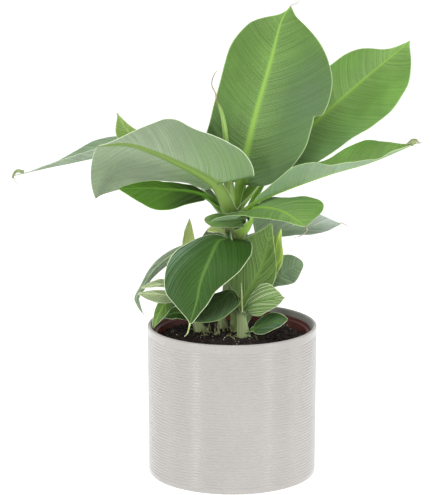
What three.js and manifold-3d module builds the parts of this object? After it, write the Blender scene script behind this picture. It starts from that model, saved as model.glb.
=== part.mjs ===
// A young banana plant in a plastic growing pot, standing inside a round glazed cover pot.
// Millimetres, +Z up. The origin is the centre of the cover pot's flat underside, and the
// side that faces the viewer in the usual picture is -Y.
import * as THREE from 'three';
import { mergeVertices } from 'three/addons/utils/BufferGeometryUtils.js';
import Module from 'manifold-3d';

const wasm = await Module();
wasm.setup();

// Driving dimensions
const coverDiameter = 190;
const coverHeight = 171;
const coverWall = 3.8;
const coverFloor = 6;
const coverDraft = 1; // the wall leans out by this much from foot to rim
const footRounding = 2.5;
const growingRimDiameter = 177;
const growingRimDepth = 6; // below the cover pot's rim
const growingBaseDiameter = 132;
const growingWall = 1.8;
const growingLip = 3;
const growingLipHeight = 5;
const soilDepth = 16; // below the cover pot's rim
const soilDome = 3;
const clearance = 0.3;
const potSides = 48;
const stemSides = 10;
const stemSections = 8;
const footSections = 3;
const spearSections = 10;

// How every leaf is made up
const bladeThicknessShare = 0.011; // of the blade's length
const leastThickness = 1.1;
const tipHalfWidth = 0.7;
const footSwell = 1.3; // a leaf's foot is this much wider where it leaves the stem
const ribDepthShare = 0.8; // the midrib's half depth, of its half width
const columnShares = [0, 0.12, 1]; // where the columns stand, from midrib to margin
const largeBlade = 80; // a longer blade gets more sections
const largeBladeSections = 13;
const smallBladeSections = 8;
const stalkStep = 16;

const colours = {
  glaze: 0xcfcbc4,
  growingPot: 0x5b3024,
  soil: 0x241d18,
  leafGreen: 0x5f8f3c,
  deepGreen: 0x3d6a34,
  paleGreen: 0x9dbb5f,
  greyGreen: 0x8ea58c,
  stemGreen: 0x9ab36b,
};

// Each stem is a round tapering limb, cut flat just above the soil: the points of its axis, and
// its radius at foot and top.
const stems = {
  stem_main: { axis: [[7, 21, 150], [5, 19, 220], [0, 15, 292]], radius: [12, 8.5] },
  stem_front_shoot: { axis: [[14, -4, 150], [12, -6, 170], [10, -7, 188]], radius: [7, 5] },
  stem_left_shoot: { axis: [[-33, 20, 150], [-38, 20, 165], [-41, 19, 177]], radius: [6, 4.5] },
  stem_rear_shoot: { axis: [[-8, 34, 150], [-11, 31, 168], [-15, 29, 184]], radius: [5, 3.5] },
};

// The youngest leaf is still rolled into a thin spear.
const spear = {
  on: 'stem_main',
  bare: 16,
  rib: [[-2, 17, 288], [-5, 17, 340], [-10, 12, 401], [-18, 8, 427]],
  radius: [2.6, 0.8],
};

// Each open leaf, in millimetres and degrees:
// rib: a point on the stem's axis, the neck where the blade begins, and on to the tip (neck: 2
// where the stalk has a bend before its neck). left, right: half width by the neck, in the middle
// and by the tip, seen from above with the tip ahead. face: bearing and height of what the upper
// side looks at, by the neck and by the tip; bearing 0 is +X and 90 is +Y. fold: how far the left
// half is folded up by neck and tip, then the right half. rake: how far the side veins lean to
// the tip. ends: how blunt neck and tip are, from 0.3, round, to 1, pointed. stalk: its half width
// at foot and neck. bare: the first length, which is part of the stem.
const leaves = {
  leaf_top: {
    on: 'stem_main', colour: 'leafGreen', bare: 18, stalk: [3, 3], ends: [0.35, 0.7], rake: [0, 18],
    rib: [[1, 17, 286], [9, 22, 327], [23, 30, 392], [43, 42, 463], [65, 60, 521]],
    left: [50, 50, 52], right: [70, 92, 48], face: [262, 10, 262, 20], fold: [12, 12, 14, 14],
  },
  leaf_upright: {
    on: 'stem_main', colour: 'leafGreen', bare: 24, stalk: [4, 3], ends: [0.5, 0.75], rake: [0, 20],
    neck: 2, rib: [[2, 18, 282], [24, 32, 312], [60, 56, 356], [128, 78, 417], [201, 92, 477]],
    left: [26, 46, 16], right: [46, 58, 36], face: [250, 35, 250, 35], fold: [10, 10, 10, 10],
  },
  leaf_right: {
    on: 'stem_main', colour: 'leafGreen', bare: 18, stalk: [3.4, 3], ends: [0.5, 0.7], rake: [0, 20],
    rib: [[1, 15, 290], [26, 8, 309], [103, 4, 340], [155, 2, 356], [203, 0, 377]],
    left: [26, 48, 34], right: [34, 40, 24], face: [90, 85, 90, 80], fold: [45, 32, 62, 15],
  },
  leaf_left: {
    on: 'stem_main', colour: 'greyGreen', bare: 18, stalk: [6, 5], ends: [0.3, 0.3], rake: [0, 10],
    rib: [[0, 12, 288], [-7, -3, 327], [-30, -5, 347], [-91, -10, 370], [-148, -22, 377]],
    left: [50, 50, -6], right: [40, 34, 116], face: [90, 5, 90, 20], fold: [0, 50, 50, 0],
  },
  leaf_left_under: {
    on: 'stem_main', colour: 'leafGreen', bare: 24, stalk: [4, 3], ends: [0.4, 0.7], rake: [0, 20],
    rib: [[0, 15, 278], [-29, 0, 317], [-80, -8, 321], [-133, -12, 324]],
    left: [22, 35, 20], right: [10, 12, 10], face: [270, 60, 270, 45], fold: [-10, -10, -10, -10],
  },
  leaf_left_long: {
    on: 'stem_main', colour: 'greyGreen', bare: 18, stalk: [4, 3], ends: [0.4, 1.8], rake: [0, 20],
    rib: [[0, 17, 278], [-47, 58, 333], [-127, 84, 351], [-194, 92, 339], [-251, 96, 321]],
    left: [20, 14, 4], right: [38, 50, 4], face: [90, 88, 90, 70], fold: [60, 60, 42, 42],
  },
  leaf_left_rear: {
    on: 'stem_main', colour: 'paleGreen', bare: 20, stalk: [3, 3], ends: [0.5, 1], rake: [0, 20],
    rib: [[0, 17, 286], [-30, 38, 337], [-76, 54, 369], [-130, 72, 398]],
    left: [20, 26, 18], right: [14, 12, 6], face: [270, 60, 270, 60], fold: [15, 15, 15, 15],
  },
  leaf_right_low: {
    on: 'stem_main', colour: 'leafGreen', bare: 14, stalk: [3.2, 3], ends: [0.45, 0.45], rake: [0, 15],
    rib: [[2, 14, 278], [20, 3, 297], [50, -20, 306], [80, -48, 294]],
    left: [20, 36, 60], right: [14, 26, 26], face: [270, 75, 300, 60], fold: [5, 5, 5, 5],
  },
  leaf_right_far: {
    on: 'stem_main', colour: 'greyGreen', bare: 16, stalk: [4, 3], ends: [0.5, 0.8], rake: [0, 20],
    rib: [[3, 15, 262], [27, 12, 270], [76, 10, 279], [122, 6, 285]],
    left: [14, 24, 20], right: [12, 12, 14], face: [270, 60, 270, 50], fold: [20, 20, 20, 20],
  },
  leaf_left_short: {
    on: 'stem_main', colour: 'deepGreen', bare: 15, stalk: [2.4, 2.4], ends: [0.3, 0.5], rake: [0, 20],
    rib: [[1, 15, 272], [2, -1, 287], [-8, -13, 292], [-30, -23, 295]],
    left: [8, 8, 7], right: [12, 6, 5], face: [270, 20, 270, 20], fold: [10, 10, 10, 10],
  },
  leaf_front: {
    on: 'stem_main', colour: 'deepGreen', bare: 15, stalk: [4, 3], ends: [0.35, 0.8], rake: [-15, 20],
    rib: [[3, 15, 258], [-2, -4, 268], [-22, -36, 256], [-36, -56, 224], [-47, -62, 188]],
    left: [56, 26, 2], right: [46, 42, 46], face: [270, 50, 270, 20], fold: [-8, -8, -8, -8],
  },
  leaf_left_arch: {
    on: 'stem_main', colour: 'greyGreen', bare: 14, stalk: [3, 2.5], ends: [0.5, 0.8], rake: [0, 20],
    rib: [[3, 16, 250], [-30, 12, 258], [-69, 8, 245], [-91, 6, 218], [-102, 4, 187]],
    left: [16, 22, 16], right: [12, 14, 12], face: [110, 50, 140, 20], fold: [10, 10, 10, 10],
  },
  leaf_yellow_bit: {
    on: 'stem_main', colour: 'paleGreen', bare: 12, stalk: [2, 2], ends: [0.5, 0.8], rake: [0, 20],
    rib: [[2, 15, 270], [-8, 6, 275], [-18, -4, 281], [-27, -14, 280]],
    left: [5, 5, 5], right: [5, 5, 5], face: [270, 50, 270, 50], fold: [5, 5, 5, 5],
  },
  leaf_rear_high: {
    on: 'stem_main', colour: 'leafGreen', bare: 28, stalk: [3, 3], ends: [0.45, 0.75], rake: [0, 20],
    rib: [[1, 17, 268], [16, 54, 337], [34, 110, 395], [35, 150, 446]],
    left: [34, 40, 30], right: [34, 40, 30], face: [270, 30, 270, 20], fold: [12, 12, 12, 12],
  },
  leaf_rear_right: {
    on: 'stem_main', colour: 'leafGreen', bare: 16, stalk: [3, 3], ends: [0.45, 0.75], rake: [0, 20],
    rib: [[2, 17, 266], [41, 70, 327], [79, 130, 368], [117, 170, 390]],
    left: [26, 32, 26], right: [26, 32, 26], face: [240, 50, 240, 50], fold: [12, 12, 12, 12],
  },
  leaf_rear_low: {
    on: 'stem_main', colour: 'deepGreen', bare: 14, stalk: [3, 3], ends: [0.4, 0.8], rake: [0, 20],
    rib: [[3, 17, 260], [0, 48, 275], [-11, 92, 239], [-20, 120, 186]],
    left: [26, 34, 20], right: [26, 34, 20], face: [90, 50, 90, 10], fold: [-8, -8, -8, -8],
  },
  leaf_young_pale: {
    on: 'stem_front_shoot', colour: 'paleGreen', bare: 13, stalk: [3, 3], ends: [0.8, 0.9], rake: [0, 10],
    rib: [[10, -7, 180], [14, -8, 200], [34, -9, 241], [44, -11, 289]],
    left: [26, 28, 16], right: [16, 20, 10], face: [260, 20, 260, 20], fold: [15, 15, 15, 15],
  },
  leaf_young_thin: {
    on: 'stem_front_shoot', colour: 'paleGreen', bare: 12, stalk: [2, 2], ends: [0.7, 0.9], rake: [0, 20],
    rib: [[11, -7, 178], [28, -1, 202], [48, -2, 242], [60, -6, 285]],
    left: [10, 12, 8], right: [8, 12, 8], face: [250, 20, 250, 20], fold: [15, 15, 15, 15],
  },
  leaf_round: {
    on: 'stem_front_shoot', colour: 'greyGreen', bare: 12, stalk: [2, 2], ends: [0.4, 0.45], rake: [0, 15],
    rib: [[12, -8, 166], [36, 14, 205], [58, 16, 226], [79, 12, 239]],
    left: [16, 20, 18], right: [16, 22, 18], face: [290, 45, 290, 45], fold: [8, 8, 8, 8],
  },
  leaf_low_striped: {
    on: 'stem_front_shoot', colour: 'paleGreen', bare: 12, stalk: [2, 2], ends: [0.5, 0.6], rake: [0, 20],
    rib: [[11, -8, 172], [19, -17, 188], [38, -24, 200], [57, -30, 209]],
    left: [8, 10, 10], right: [12, 12, 12], face: [270, 40, 270, 40], fold: [10, 10, 10, 10],
  },
  leaf_at_soil: {
    on: 'stem_front_shoot', colour: 'leafGreen', bare: 8, stalk: [2, 2], ends: [0.5, 0.7], rake: [0, 20],
    rib: [[12, -9, 162], [24, -16, 169], [42, -26, 179], [61, -36, 185]],
    left: [12, 14, 10], right: [10, 12, 9], face: [270, 50, 270, 50], fold: [5, 5, 5, 5],
  },
  leaf_low_dark: {
    on: 'stem_front_shoot', colour: 'deepGreen', bare: 13, stalk: [2, 2], ends: [0.5, 0.8], rake: [0, 20],
    rib: [[11, -8, 176], [3, -15, 192], [-20, -34, 192], [-42, -46, 180]],
    left: [14, 16, 12], right: [12, 18, 12], face: [270, 45, 270, 45], fold: [-5, -5, -5, -5],
  },
  leaf_edge: {
    on: 'stem_left_shoot', colour: 'deepGreen', bare: 14, stalk: [2, 1.6], ends: [0.5, 0.7], rake: [0, 20],
    rib: [[-39, 20, 163], [-60, 13, 191], [-74, 2, 194], [-82, -6, 184], [-84, -8, 168]],
    left: [8, 14, 8], right: [10, 10, 6], face: [270, 50, 240, 20], fold: [-5, -5, -5, -5],
  },
  leaf_edge_rear: {
    on: 'stem_left_shoot', colour: 'deepGreen', bare: 11, stalk: [1.6, 1.6], ends: [0.5, 0.8], rake: [0, 20],
    rib: [[-36, 20, 159], [-48, 27, 170], [-61, 30, 176], [-77, 28, 172]],
    left: [8, 8, 8], right: [8, 8, 8], face: [270, 50, 270, 50], fold: [5, 5, 5, 5],
  },
  leaf_pale_upper: {
    on: 'stem_left_shoot', colour: 'paleGreen', bare: 10, stalk: [1.8, 1.6], ends: [0.5, 0.8], rake: [0, 20],
    rib: [[-41, 19, 173], [-63, 2, 212], [-81, -10, 222], [-101, -18, 216]],
    left: [8, 9, 7], right: [8, 9, 7], face: [270, 50, 270, 50], fold: [5, 5, 5, 5],
  },
  leaf_pale_lower: {
    on: 'stem_left_shoot', colour: 'paleGreen', bare: 11, stalk: [1.8, 1.6], ends: [0.5, 0.8], rake: [0, 20],
    rib: [[-40, 19, 169], [-58, -8, 202], [-81, -20, 207], [-105, -24, 208]],
    left: [8, 9, 7], right: [8, 9, 7], face: [270, 50, 270, 50], fold: [5, 5, 5, 5],
  },
  leaf_shoot_tip: {
    on: 'stem_rear_shoot', colour: 'paleGreen', bare: 8, stalk: [2.4, 2], ends: [0.7, 0.9], rake: [0, 20],
    rib: [[-14, 29, 180], [-23, 34, 202], [-41, 34, 248], [-49, 30, 285]],
    left: [9, 10, 8], right: [9, 10, 8], face: [300, 20, 300, 20], fold: [20, 20, 20, 20],
  },
};

const vector = (point) => new THREE.Vector3(...point);

function midribOf(points) {
  return new THREE.CatmullRomCurve3(points.map(vector), false, 'centripetal');
}

// The length along the curve at which it passes one of its own points.
function lengthAtPoint(curve, index) {
  const steps = 400;
  const lengths = curve.getLengths(steps);
  return lengths[Math.round((index / (curve.points.length - 1)) * steps)];
}

const mix = THREE.MathUtils.lerp;
const radians = THREE.MathUtils.degToRad;

function bearing(azimuth, height) {
  const a = radians(azimuth);
  const h = radians(height);
  return new THREE.Vector3(Math.cos(a) * Math.cos(h), Math.sin(a) * Math.cos(h), Math.sin(h));
}

// Skins a row of equal closed rings, from first to last, and closes both ends.
function skinRings(rings) {
  const count = rings[0].length;
  const positions = rings.flat().flatMap((p) => [p.x, p.y, p.z]);
  const index = [];
  for (let i = 0; i < rings.length - 1; i++) {
    for (let j = 0; j < count; j++) {
      const a = i * count + j;
      const b = i * count + ((j + 1) % count);
      index.push(a, b, a + count, b, b + count, a + count);
    }
  }
  const last = (rings.length - 1) * count;
  // the flat ends are strips between the first half of the ring and the second
  for (let j = 1; j < count / 2; j++) {
    const k = count - j;
    index.push(j - 1, k, j, j, k, k - 1);
    index.push(last + j - 1, last + j, last + k, last + j, last + k - 1, last + k);
  }
  const geometry = new THREE.BufferGeometry();
  geometry.setAttribute('position', new THREE.Float32BufferAttribute(positions, 3));
  geometry.setIndex(index);
  return geometry;
}

// A round limb along a curve, from one length to another, its radius changing evenly.
function limb(curve, from, to, radiusFrom, radiusTo, sections) {
  const total = curve.getLength();
  const rings = [];
  let side = new THREE.Vector3(1, 0, 0);
  for (let i = 0; i <= sections; i++) {
    const t = i / sections;
    const u = Math.min(mix(from, to, t) / total, 1);
    const centre = curve.getPointAt(u);
    const ahead = curve.getTangentAt(u);
    side = side.clone().addScaledVector(ahead, -side.dot(ahead)).normalize();
    const across = new THREE.Vector3().crossVectors(ahead, side);
    const radius = mix(radiusFrom, radiusTo, t);
    const ring = [];
    for (let j = 0; j < stemSides; j++) {
      const angle = (2 * Math.PI * j) / stemSides;
      ring.push(
        centre.clone()
          .addScaledVector(side, radius * Math.cos(angle))
          .addScaledVector(across, radius * Math.sin(angle)),
      );
    }
    rings.push(ring);
  }
  return skinRings(rings);
}

// Half width of one half of the blade at q, 0 at the neck and 1 at the tip.
function halfWidth(widths, ends, q) {
  const [near, middle, far] = widths;
  const swell = Math.max(0, near * (1 - q) ** 2 + middle * 2 * q * (1 - q) + far * q * q);
  return swell * Math.sin(Math.PI * q) ** mix(ends[0], ends[1], q);
}

// One section across stalk and blade: the upper row of points from left to right, then the
// lower row back. The middle is as thick as the rib and the blade beside it is thin.
function leafSection(leaf, frame, q, ribRadius, thickness) {
  const { centre, ahead, up, side } = frame;
  const columns = columnShares.length - 1;
  const upper = [];
  const lower = [];
  const rake = radians(mix(leaf.rake[0], leaf.rake[1], q)) * (q > 0 ? 1 : 0);
  for (let column = -columns; column <= columns; column++) {
    const onLeft = column < 0;
    const sign = onLeft ? 1 : -1;
    const widths = onLeft ? leaf.left : leaf.right;
    const folds = onLeft ? leaf.fold.slice(0, 2) : leaf.fold.slice(2);
    const blade = q > 0 ? halfWidth(widths, leaf.ends, q) : 0;
    const width = blade + ribRadius;
    const share = columnShares[Math.abs(column)];
    const fold = radians(mix(folds[0], folds[1], q)) * Math.min(1, blade / (2 * ribRadius));
    const lean = blade > 0 ? rake : 0;
    const point = centre.clone()
      .addScaledVector(side, sign * Math.cos(lean) * Math.cos(fold) * width * share)
      .addScaledVector(ahead, Math.sin(lean) * Math.cos(fold) * width * share)
      .addScaledVector(up, Math.sin(fold) * width * share);
    const normal = up.clone();
    if (column !== 0) {
      normal.multiplyScalar(Math.cos(fold)).addScaledVector(side, -sign * Math.sin(fold));
    }
    const inRib = Math.max(0, 1 - ((share * width) / ribRadius) ** 2);
    const half = mix(thickness / 2, Math.max(ribRadius * ribDepthShare, thickness / 2), Math.sqrt(inRib));
    upper.push(point.clone().addScaledVector(normal, half));
    lower.unshift(point.addScaledVector(normal, -half));
  }
  return upper.concat(lower);
}

// A whole leaf, from where it leaves the stem to its tip.
function leafGeometry(leaf) {
  const curve = midribOf(leaf.rib);
  const total = curve.getLength();
  const neck = lengthAtPoint(curve, leaf.neck ?? 1);
  const start = leaf.bare + clearance;
  const blade = total - neck;
  const bladeSections = blade > largeBlade ? largeBladeSections : smallBladeSections;
  const stalkSections = Math.max(1, Math.round((neck - start) / stalkStep));
  const thickness = Math.max(leastThickness, bladeThicknessShare * blade);
  const first = bearing(leaf.face[0], leaf.face[1]);
  const second = bearing(leaf.face[2], leaf.face[3]);
  const rings = [];
  for (let i = 0; i <= stalkSections + bladeSections; i++) {
    const inStalk = i <= stalkSections;
    const s = inStalk
      ? mix(start, neck, i / stalkSections)
      : mix(neck, total, (i - stalkSections) / bladeSections);
    const q = Math.max(0, (s - neck) / blade);
    const centre = curve.getPointAt(Math.min(s / total, 1));
    const ahead = curve.getTangentAt(Math.min(s / total, 1));
    const up = first.clone().lerp(second, q);
    up.addScaledVector(ahead, -up.dot(ahead)).normalize();
    const side = new THREE.Vector3().crossVectors(up, ahead);
    const ribRadius = inStalk
      ? mix(leaf.stalk[0], leaf.stalk[1], s / neck)
      : mix(leaf.stalk[1], tipHalfWidth, Math.sqrt(q));
    rings.push(leafSection(leaf, { centre, ahead, up, side }, q, ribRadius, thickness));
  }
  return skinRings(rings);
}

// A closed geometry as a solid that can be joined and cut.
function solidOf(geometry) {
  const bare = geometry.clone();
  bare.deleteAttribute('normal');
  bare.deleteAttribute('uv');
  const merged = mergeVertices(bare, 1e-4);
  return new wasm.Manifold(new wasm.Mesh({
    numProp: 3,
    vertProperties: merged.attributes.position.array,
    triVerts: Uint32Array.from(merged.index.array),
  }));
}

function geometryOf(solid) {
  const mesh = solid.getMesh();
  const geometry = new THREE.BufferGeometry();
  geometry.setAttribute('position', new THREE.Float32BufferAttribute(mesh.vertProperties, 3));
  geometry.setIndex(Array.from(mesh.triVerts));
  return geometry;
}

// A stem with the bare foot of each leaf that grows from it.
function stemGeometry(name) {
  const { axis, radius } = stems[name];
  const curve = midribOf(axis);
  let whole = solidOf(limb(curve, 0, curve.getLength(), radius[0], radius[1], stemSections));
  for (const leaf of Object.values(leaves)) {
    if (leaf.on !== name) continue;
    const wide = leaf.stalk[0] * footSwell;
    whole = whole.add(solidOf(limb(midribOf(leaf.rib), 0, leaf.bare, wide, leaf.stalk[0], footSections)));
  }
  if (spear.on === name) {
    const wide = spear.radius[0];
    whole = whole.add(solidOf(limb(midribOf(spear.rib), 0, spear.bare, wide, wide, footSections)));
  }
  return geometryOf(whole.subtract(solidOf(soilGeometry(clearance))));
}

function spearGeometry() {
  const curve = midribOf(spear.rib);
  const from = spear.bare + clearance;
  return limb(curve, from, curve.getLength(), spear.radius[0], spear.radius[1], spearSections);
}

// A round piece from half its outline, which starts and ends on the axis.
function turned(outline) {
  const geometry = new THREE.LatheGeometry(outline, potSides);
  geometry.rotateX(Math.PI / 2);
  return geometry;
}

// Points of an arc in the half outline.
function arc(x, z, radius, fromDegrees, toDegrees, steps) {
  const points = [];
  for (let i = 0; i <= steps; i++) {
    const angle = radians(mix(fromDegrees, toDegrees, i / steps));
    points.push(new THREE.Vector2(x + radius * Math.cos(angle), z + radius * Math.sin(angle)));
  }
  return points;
}

const coverRadius = coverDiameter / 2;
const coverFootRadius = coverRadius - coverDraft;
const coverInnerRadius = coverRadius - coverWall;

function coverPotGeometry() {
  const lip = coverWall / 2;
  return turned([
    new THREE.Vector2(0, 0),
    ...arc(coverFootRadius - footRounding, footRounding, footRounding, -90, 0, 3),
    ...arc(coverRadius - lip, coverHeight - lip, lip, 0, 180, 6),
    ...arc(coverInnerRadius - coverDraft - footRounding, coverFloor + footRounding, footRounding, 0, -90, 2),
    new THREE.Vector2(0, coverFloor),
  ]);
}

const growingTop = coverHeight - growingRimDepth;
const growingBottom = coverFloor + clearance;
const growingRimRadius = growingRimDiameter / 2;
const growingBaseRadius = growingBaseDiameter / 2;

function growingPotGeometry() {
  const neckRadius = growingRimRadius - growingLip;
  return turned([
    new THREE.Vector2(0, growingBottom),
    new THREE.Vector2(growingBaseRadius, growingBottom),
    new THREE.Vector2(neckRadius, growingTop - growingLipHeight),
    new THREE.Vector2(growingRimRadius, growingTop - growingLipHeight),
    new THREE.Vector2(growingRimRadius, growingTop),
    new THREE.Vector2(neckRadius - growingWall, growingTop),
    new THREE.Vector2(growingBaseRadius - growingWall, growingBottom + growingWall),
    new THREE.Vector2(0, growingBottom + growingWall),
  ]);
}

// The soil fills the growing pot and swells a little towards the middle. raised lifts its top.
function soilGeometry(raised) {
  const bottom = growingBottom + growingWall + clearance;
  const edge = coverHeight - soilDepth;
  const baseRadius = growingBaseRadius - growingWall - clearance * 2;
  const topRadius = growingRimRadius - growingLip - growingWall - clearance * 2;
  const edgeRadius = mix(baseRadius, topRadius, (edge - bottom) / (growingTop - bottom));
  const outline = [new THREE.Vector2(0, bottom), new THREE.Vector2(baseRadius, bottom)];
  const rings = 4;
  for (let i = 0; i <= rings; i++) {
    const share = 1 - i / rings;
    outline.push(new THREE.Vector2(edgeRadius * share, edge + raised + soilDome * (1 - share * share)));
  }
  return turned(outline);
}

const plant = new THREE.Group();

function addPiece(name, geometry, colour, roughness) {
  const material = new THREE.MeshStandardMaterial({ color: colours[colour], roughness, metalness: 0 });
  const mesh = new THREE.Mesh(geometry, material);
  mesh.name = name;
  plant.add(mesh);
}

addPiece('cover_pot', coverPotGeometry(), 'glaze', 0.25);
addPiece('growing_pot', growingPotGeometry(), 'growingPot', 0.55);
addPiece('soil', soilGeometry(0), 'soil', 0.95);
for (const name of Object.keys(stems)) addPiece(name, stemGeometry(name), 'stemGreen', 0.5);
for (const [name, leaf] of Object.entries(leaves)) addPiece(name, leafGeometry(leaf), leaf.colour, 0.45);
addPiece('leaf_spear_rolled', spearGeometry(), 'paleGreen', 0.45);

export default plant;
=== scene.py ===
import math
import bpy
import numpy as np
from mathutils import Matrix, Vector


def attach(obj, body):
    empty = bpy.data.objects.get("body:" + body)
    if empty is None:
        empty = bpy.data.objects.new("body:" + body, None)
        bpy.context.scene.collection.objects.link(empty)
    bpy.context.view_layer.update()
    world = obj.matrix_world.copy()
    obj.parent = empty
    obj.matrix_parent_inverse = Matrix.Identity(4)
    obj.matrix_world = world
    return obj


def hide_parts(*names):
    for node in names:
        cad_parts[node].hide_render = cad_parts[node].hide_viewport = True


# A young banana plant: a stem of wrapped leaf sheaths and some side shoots, in a plastic growing
# pot inside a ribbed glazed cover pot. Shapes are worked out in millimetres and set in metres.
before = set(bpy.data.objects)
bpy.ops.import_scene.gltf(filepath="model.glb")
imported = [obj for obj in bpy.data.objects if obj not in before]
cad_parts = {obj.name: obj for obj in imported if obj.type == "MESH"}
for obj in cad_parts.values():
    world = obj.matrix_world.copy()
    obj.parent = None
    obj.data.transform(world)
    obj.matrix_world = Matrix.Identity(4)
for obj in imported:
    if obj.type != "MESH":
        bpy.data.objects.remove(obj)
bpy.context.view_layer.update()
mm = 0.001
seed = 11


def colour(red, green, blue):
    # a screen colour, 0 to 255, as the linear colour a shader wants
    c = np.array([red, green, blue]) / 255
    low = c / 12.92
    high = ((c + 0.055) / 1.055) ** 2.4
    return tuple(np.where(c <= 0.04045, low, high)) + (1.0,)


def unit(v):
    # each vector divided by its length
    return v / np.maximum(np.linalg.norm(v, axis=-1, keepdims=True), 1e-9)


def ease(t):
    # a smooth step from 0 to 1: three times t squared less two times t cubed
    t = np.clip(t, 0, 1)
    return t * t * (3 - 2 * t)


def bearing(azimuth, height):
    # a direction from its compass angle, 0 along +X, and its height, both in degrees
    a, h = math.radians(azimuth), math.radians(height)
    return np.array([math.cos(a) * math.cos(h), math.sin(a) * math.cos(h), math.sin(h)])


def smoothNoise(x, y, size, noiseSeed):
    # random heights from -1 to 1 on a square lattice, blended smoothly between its corners
    table = np.random.default_rng(noiseSeed).uniform(-1, 1, (64, 64))
    u, v = np.asarray(x) / size, np.asarray(y) / size
    i, j = np.floor(u).astype(int), np.floor(v).astype(int)
    a, b = ease(u - i), ease(v - j)
    near = table[i % 64, j % 64] * (1 - a) + table[(i + 1) % 64, j % 64] * a
    far = table[i % 64, (j + 1) % 64] * (1 - a) + table[(i + 1) % 64, (j + 1) % 64] * a
    return near * (1 - b) + far * b


def makePiece(name, points, faceSets, finishes, node=None, values=None, which=None, sharp=50):
    # one mesh from points in millimetres and arrays of faces that turn outwards
    mesh = bpy.data.meshes.new(name)
    loops = np.concatenate([f.ravel() for f in faceSets]).astype(np.int32)
    sizes = np.concatenate([np.full(len(f), f.shape[1]) for f in faceSets])
    mesh.vertices.add(len(points))
    mesh.vertices.foreach_set("co", (points * mm).astype(np.float32).ravel())
    mesh.loops.add(len(loops))
    mesh.polygons.add(len(sizes))
    mesh.polygons.foreach_set("loop_start", (np.cumsum(sizes) - sizes).astype(np.int32))
    mesh.polygons.foreach_set("vertices", loops)
    for finish in finishes:
        mesh.materials.append(finish)
    if which is not None:
        mesh.polygons.foreach_set("material_index", which.astype(np.int32))
    for key, value in (values or {}).items():
        mesh.attributes.new(key, "FLOAT", "POINT").data.foreach_set("value", value.astype(np.float32))
    mesh.update(calc_edges=True)
    mesh.polygons.foreach_set("use_smooth", np.ones(len(sizes), bool))
    mesh.set_sharp_from_angle(angle=math.radians(sharp))
    piece = bpy.data.objects.new(name, mesh)
    bpy.context.scene.collection.objects.link(piece)
    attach(piece, "root")
    if node:
        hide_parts(node)
    return piece


def joinShapes(shapes):
    # several (points, quads) as one
    offsets = np.cumsum([0] + [len(p) for p, _ in shapes[:-1]])
    points = np.concatenate([p for p, _ in shapes])
    quads = np.concatenate([q + o for (_, q), o in zip(shapes, offsets)])
    return points, quads


def ringWalls(rows, count):
    # the quads between closed rings of points
    i, j = np.meshgrid(np.arange(rows - 1), np.arange(count), indexing="ij")
    a = i * count + j
    b = i * count + (j + 1) % count
    return np.stack([a, b, b + count, a + count], -1).reshape(-1, 4)


def skinRings(rows, count):
    # the quads between closed rings, then the strips that close the first and last ring, whose
    # points run along the upper side and back along the lower side
    j = np.arange(1, count // 2)
    k = count - j
    start = np.stack([j - 1, k, k - 1, j], -1)
    end = np.stack([j - 1, j, k - 1, k], -1) + (rows - 1) * count
    return np.concatenate([ringWalls(rows, count), start, end])


def turnProfile(radius, height, segments):
    # half an outline that starts and ends on the axis, carried round it
    angle = 2 * np.pi * np.arange(segments) / segments
    ringR, ringZ = radius[1:-1, None], height[1:-1, None]
    points = np.stack(np.broadcast_arrays(ringR * np.cos(angle), ringR * np.sin(angle), ringZ), -1)
    poles = [[0, 0, height[0]], [0, 0, height[-1]]]
    count, lastRow = ringR.size * segments, (ringR.size - 1) * segments
    j = np.arange(segments)
    following = (j + 1) % segments
    bottom = np.stack([0 * j + count, following, j], -1)
    top = np.stack([lastRow + j, lastRow + following, 0 * j + count + 1], -1)
    faces = [ringWalls(ringR.size, segments), np.concatenate([bottom, top])]
    return np.concatenate([points.reshape(-1, 3), poles]), faces


def arcOf(x, z, radius, fromDegrees, toDegrees, steps):
    # points at even angles on a circle round x, z
    a = np.radians(np.linspace(fromDegrees, toDegrees, steps + 1))
    return np.stack([x + radius * np.cos(a), z + radius * np.sin(a)], -1)


def curveThrough(points, perStretch=40):
    # a centripetal Catmull-Rom curve through the points, as a fine polyline
    p = np.array(points, float)
    p = np.vstack([2 * p[0] - p[1], p, 2 * p[-1] - p[-2]])
    pieces = []
    for a, b, c, d in zip(p[:-3], p[1:-2], p[2:-1], p[3:]):
        knots = np.cumsum([0] + [np.linalg.norm(v) ** 0.5 for v in (b - a, c - b, d - c)])
        t0, t1, t2, t3 = knots
        t = np.linspace(t1, t2, perStretch + 1)[:-1, None]
        ab = ((t1 - t) * a + (t - t0) * b) / (t1 - t0)
        bc = ((t2 - t) * b + (t - t1) * c) / (t2 - t1)
        cd = ((t3 - t) * c + (t - t2) * d) / (t3 - t2)
        abc = ((t2 - t) * ab + (t - t0) * bc) / (t2 - t0)
        bcd = ((t3 - t) * bc + (t - t1) * cd) / (t3 - t1)
        pieces.append(((t2 - t) * abc + (t - t1) * bcd) / (t2 - t1))
    pieces.append(p[-2][None])
    return np.vstack(pieces)


def lengths(path):
    # how far along the path each of its points lies
    return np.concatenate([[0], np.cumsum(np.linalg.norm(np.diff(path, axis=0), axis=1))])


def along(path, lengthsOf, s):
    # the path's points at the lengths s
    return np.stack([np.interp(s, lengthsOf, path[:, k]) for k in range(3)], -1)


def controlCurve(values, q):
    # a smooth curve over q from 0 to 1, drawn by control values (a clamped quadratic B-spline)
    values = np.asarray(values, float)
    spans = len(values) - 2
    knots = np.clip(np.arange(len(values) + 3) - 2, 0, spans).astype(float)
    x = np.clip(q, 0, 1 - 1e-9) * spans
    k = np.floor(x).astype(int)
    a = (x - knots[k + 1]) / (knots[k + 3] - knots[k + 1])
    b = (x - knots[k + 2]) / (knots[k + 4] - knots[k + 2])
    c = x - k
    first = (1 - a) * values[k] + a * values[k + 1]
    second = (1 - b) * values[k + 1] + b * values[k + 2]
    return (1 - c) * first + c * second


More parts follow.
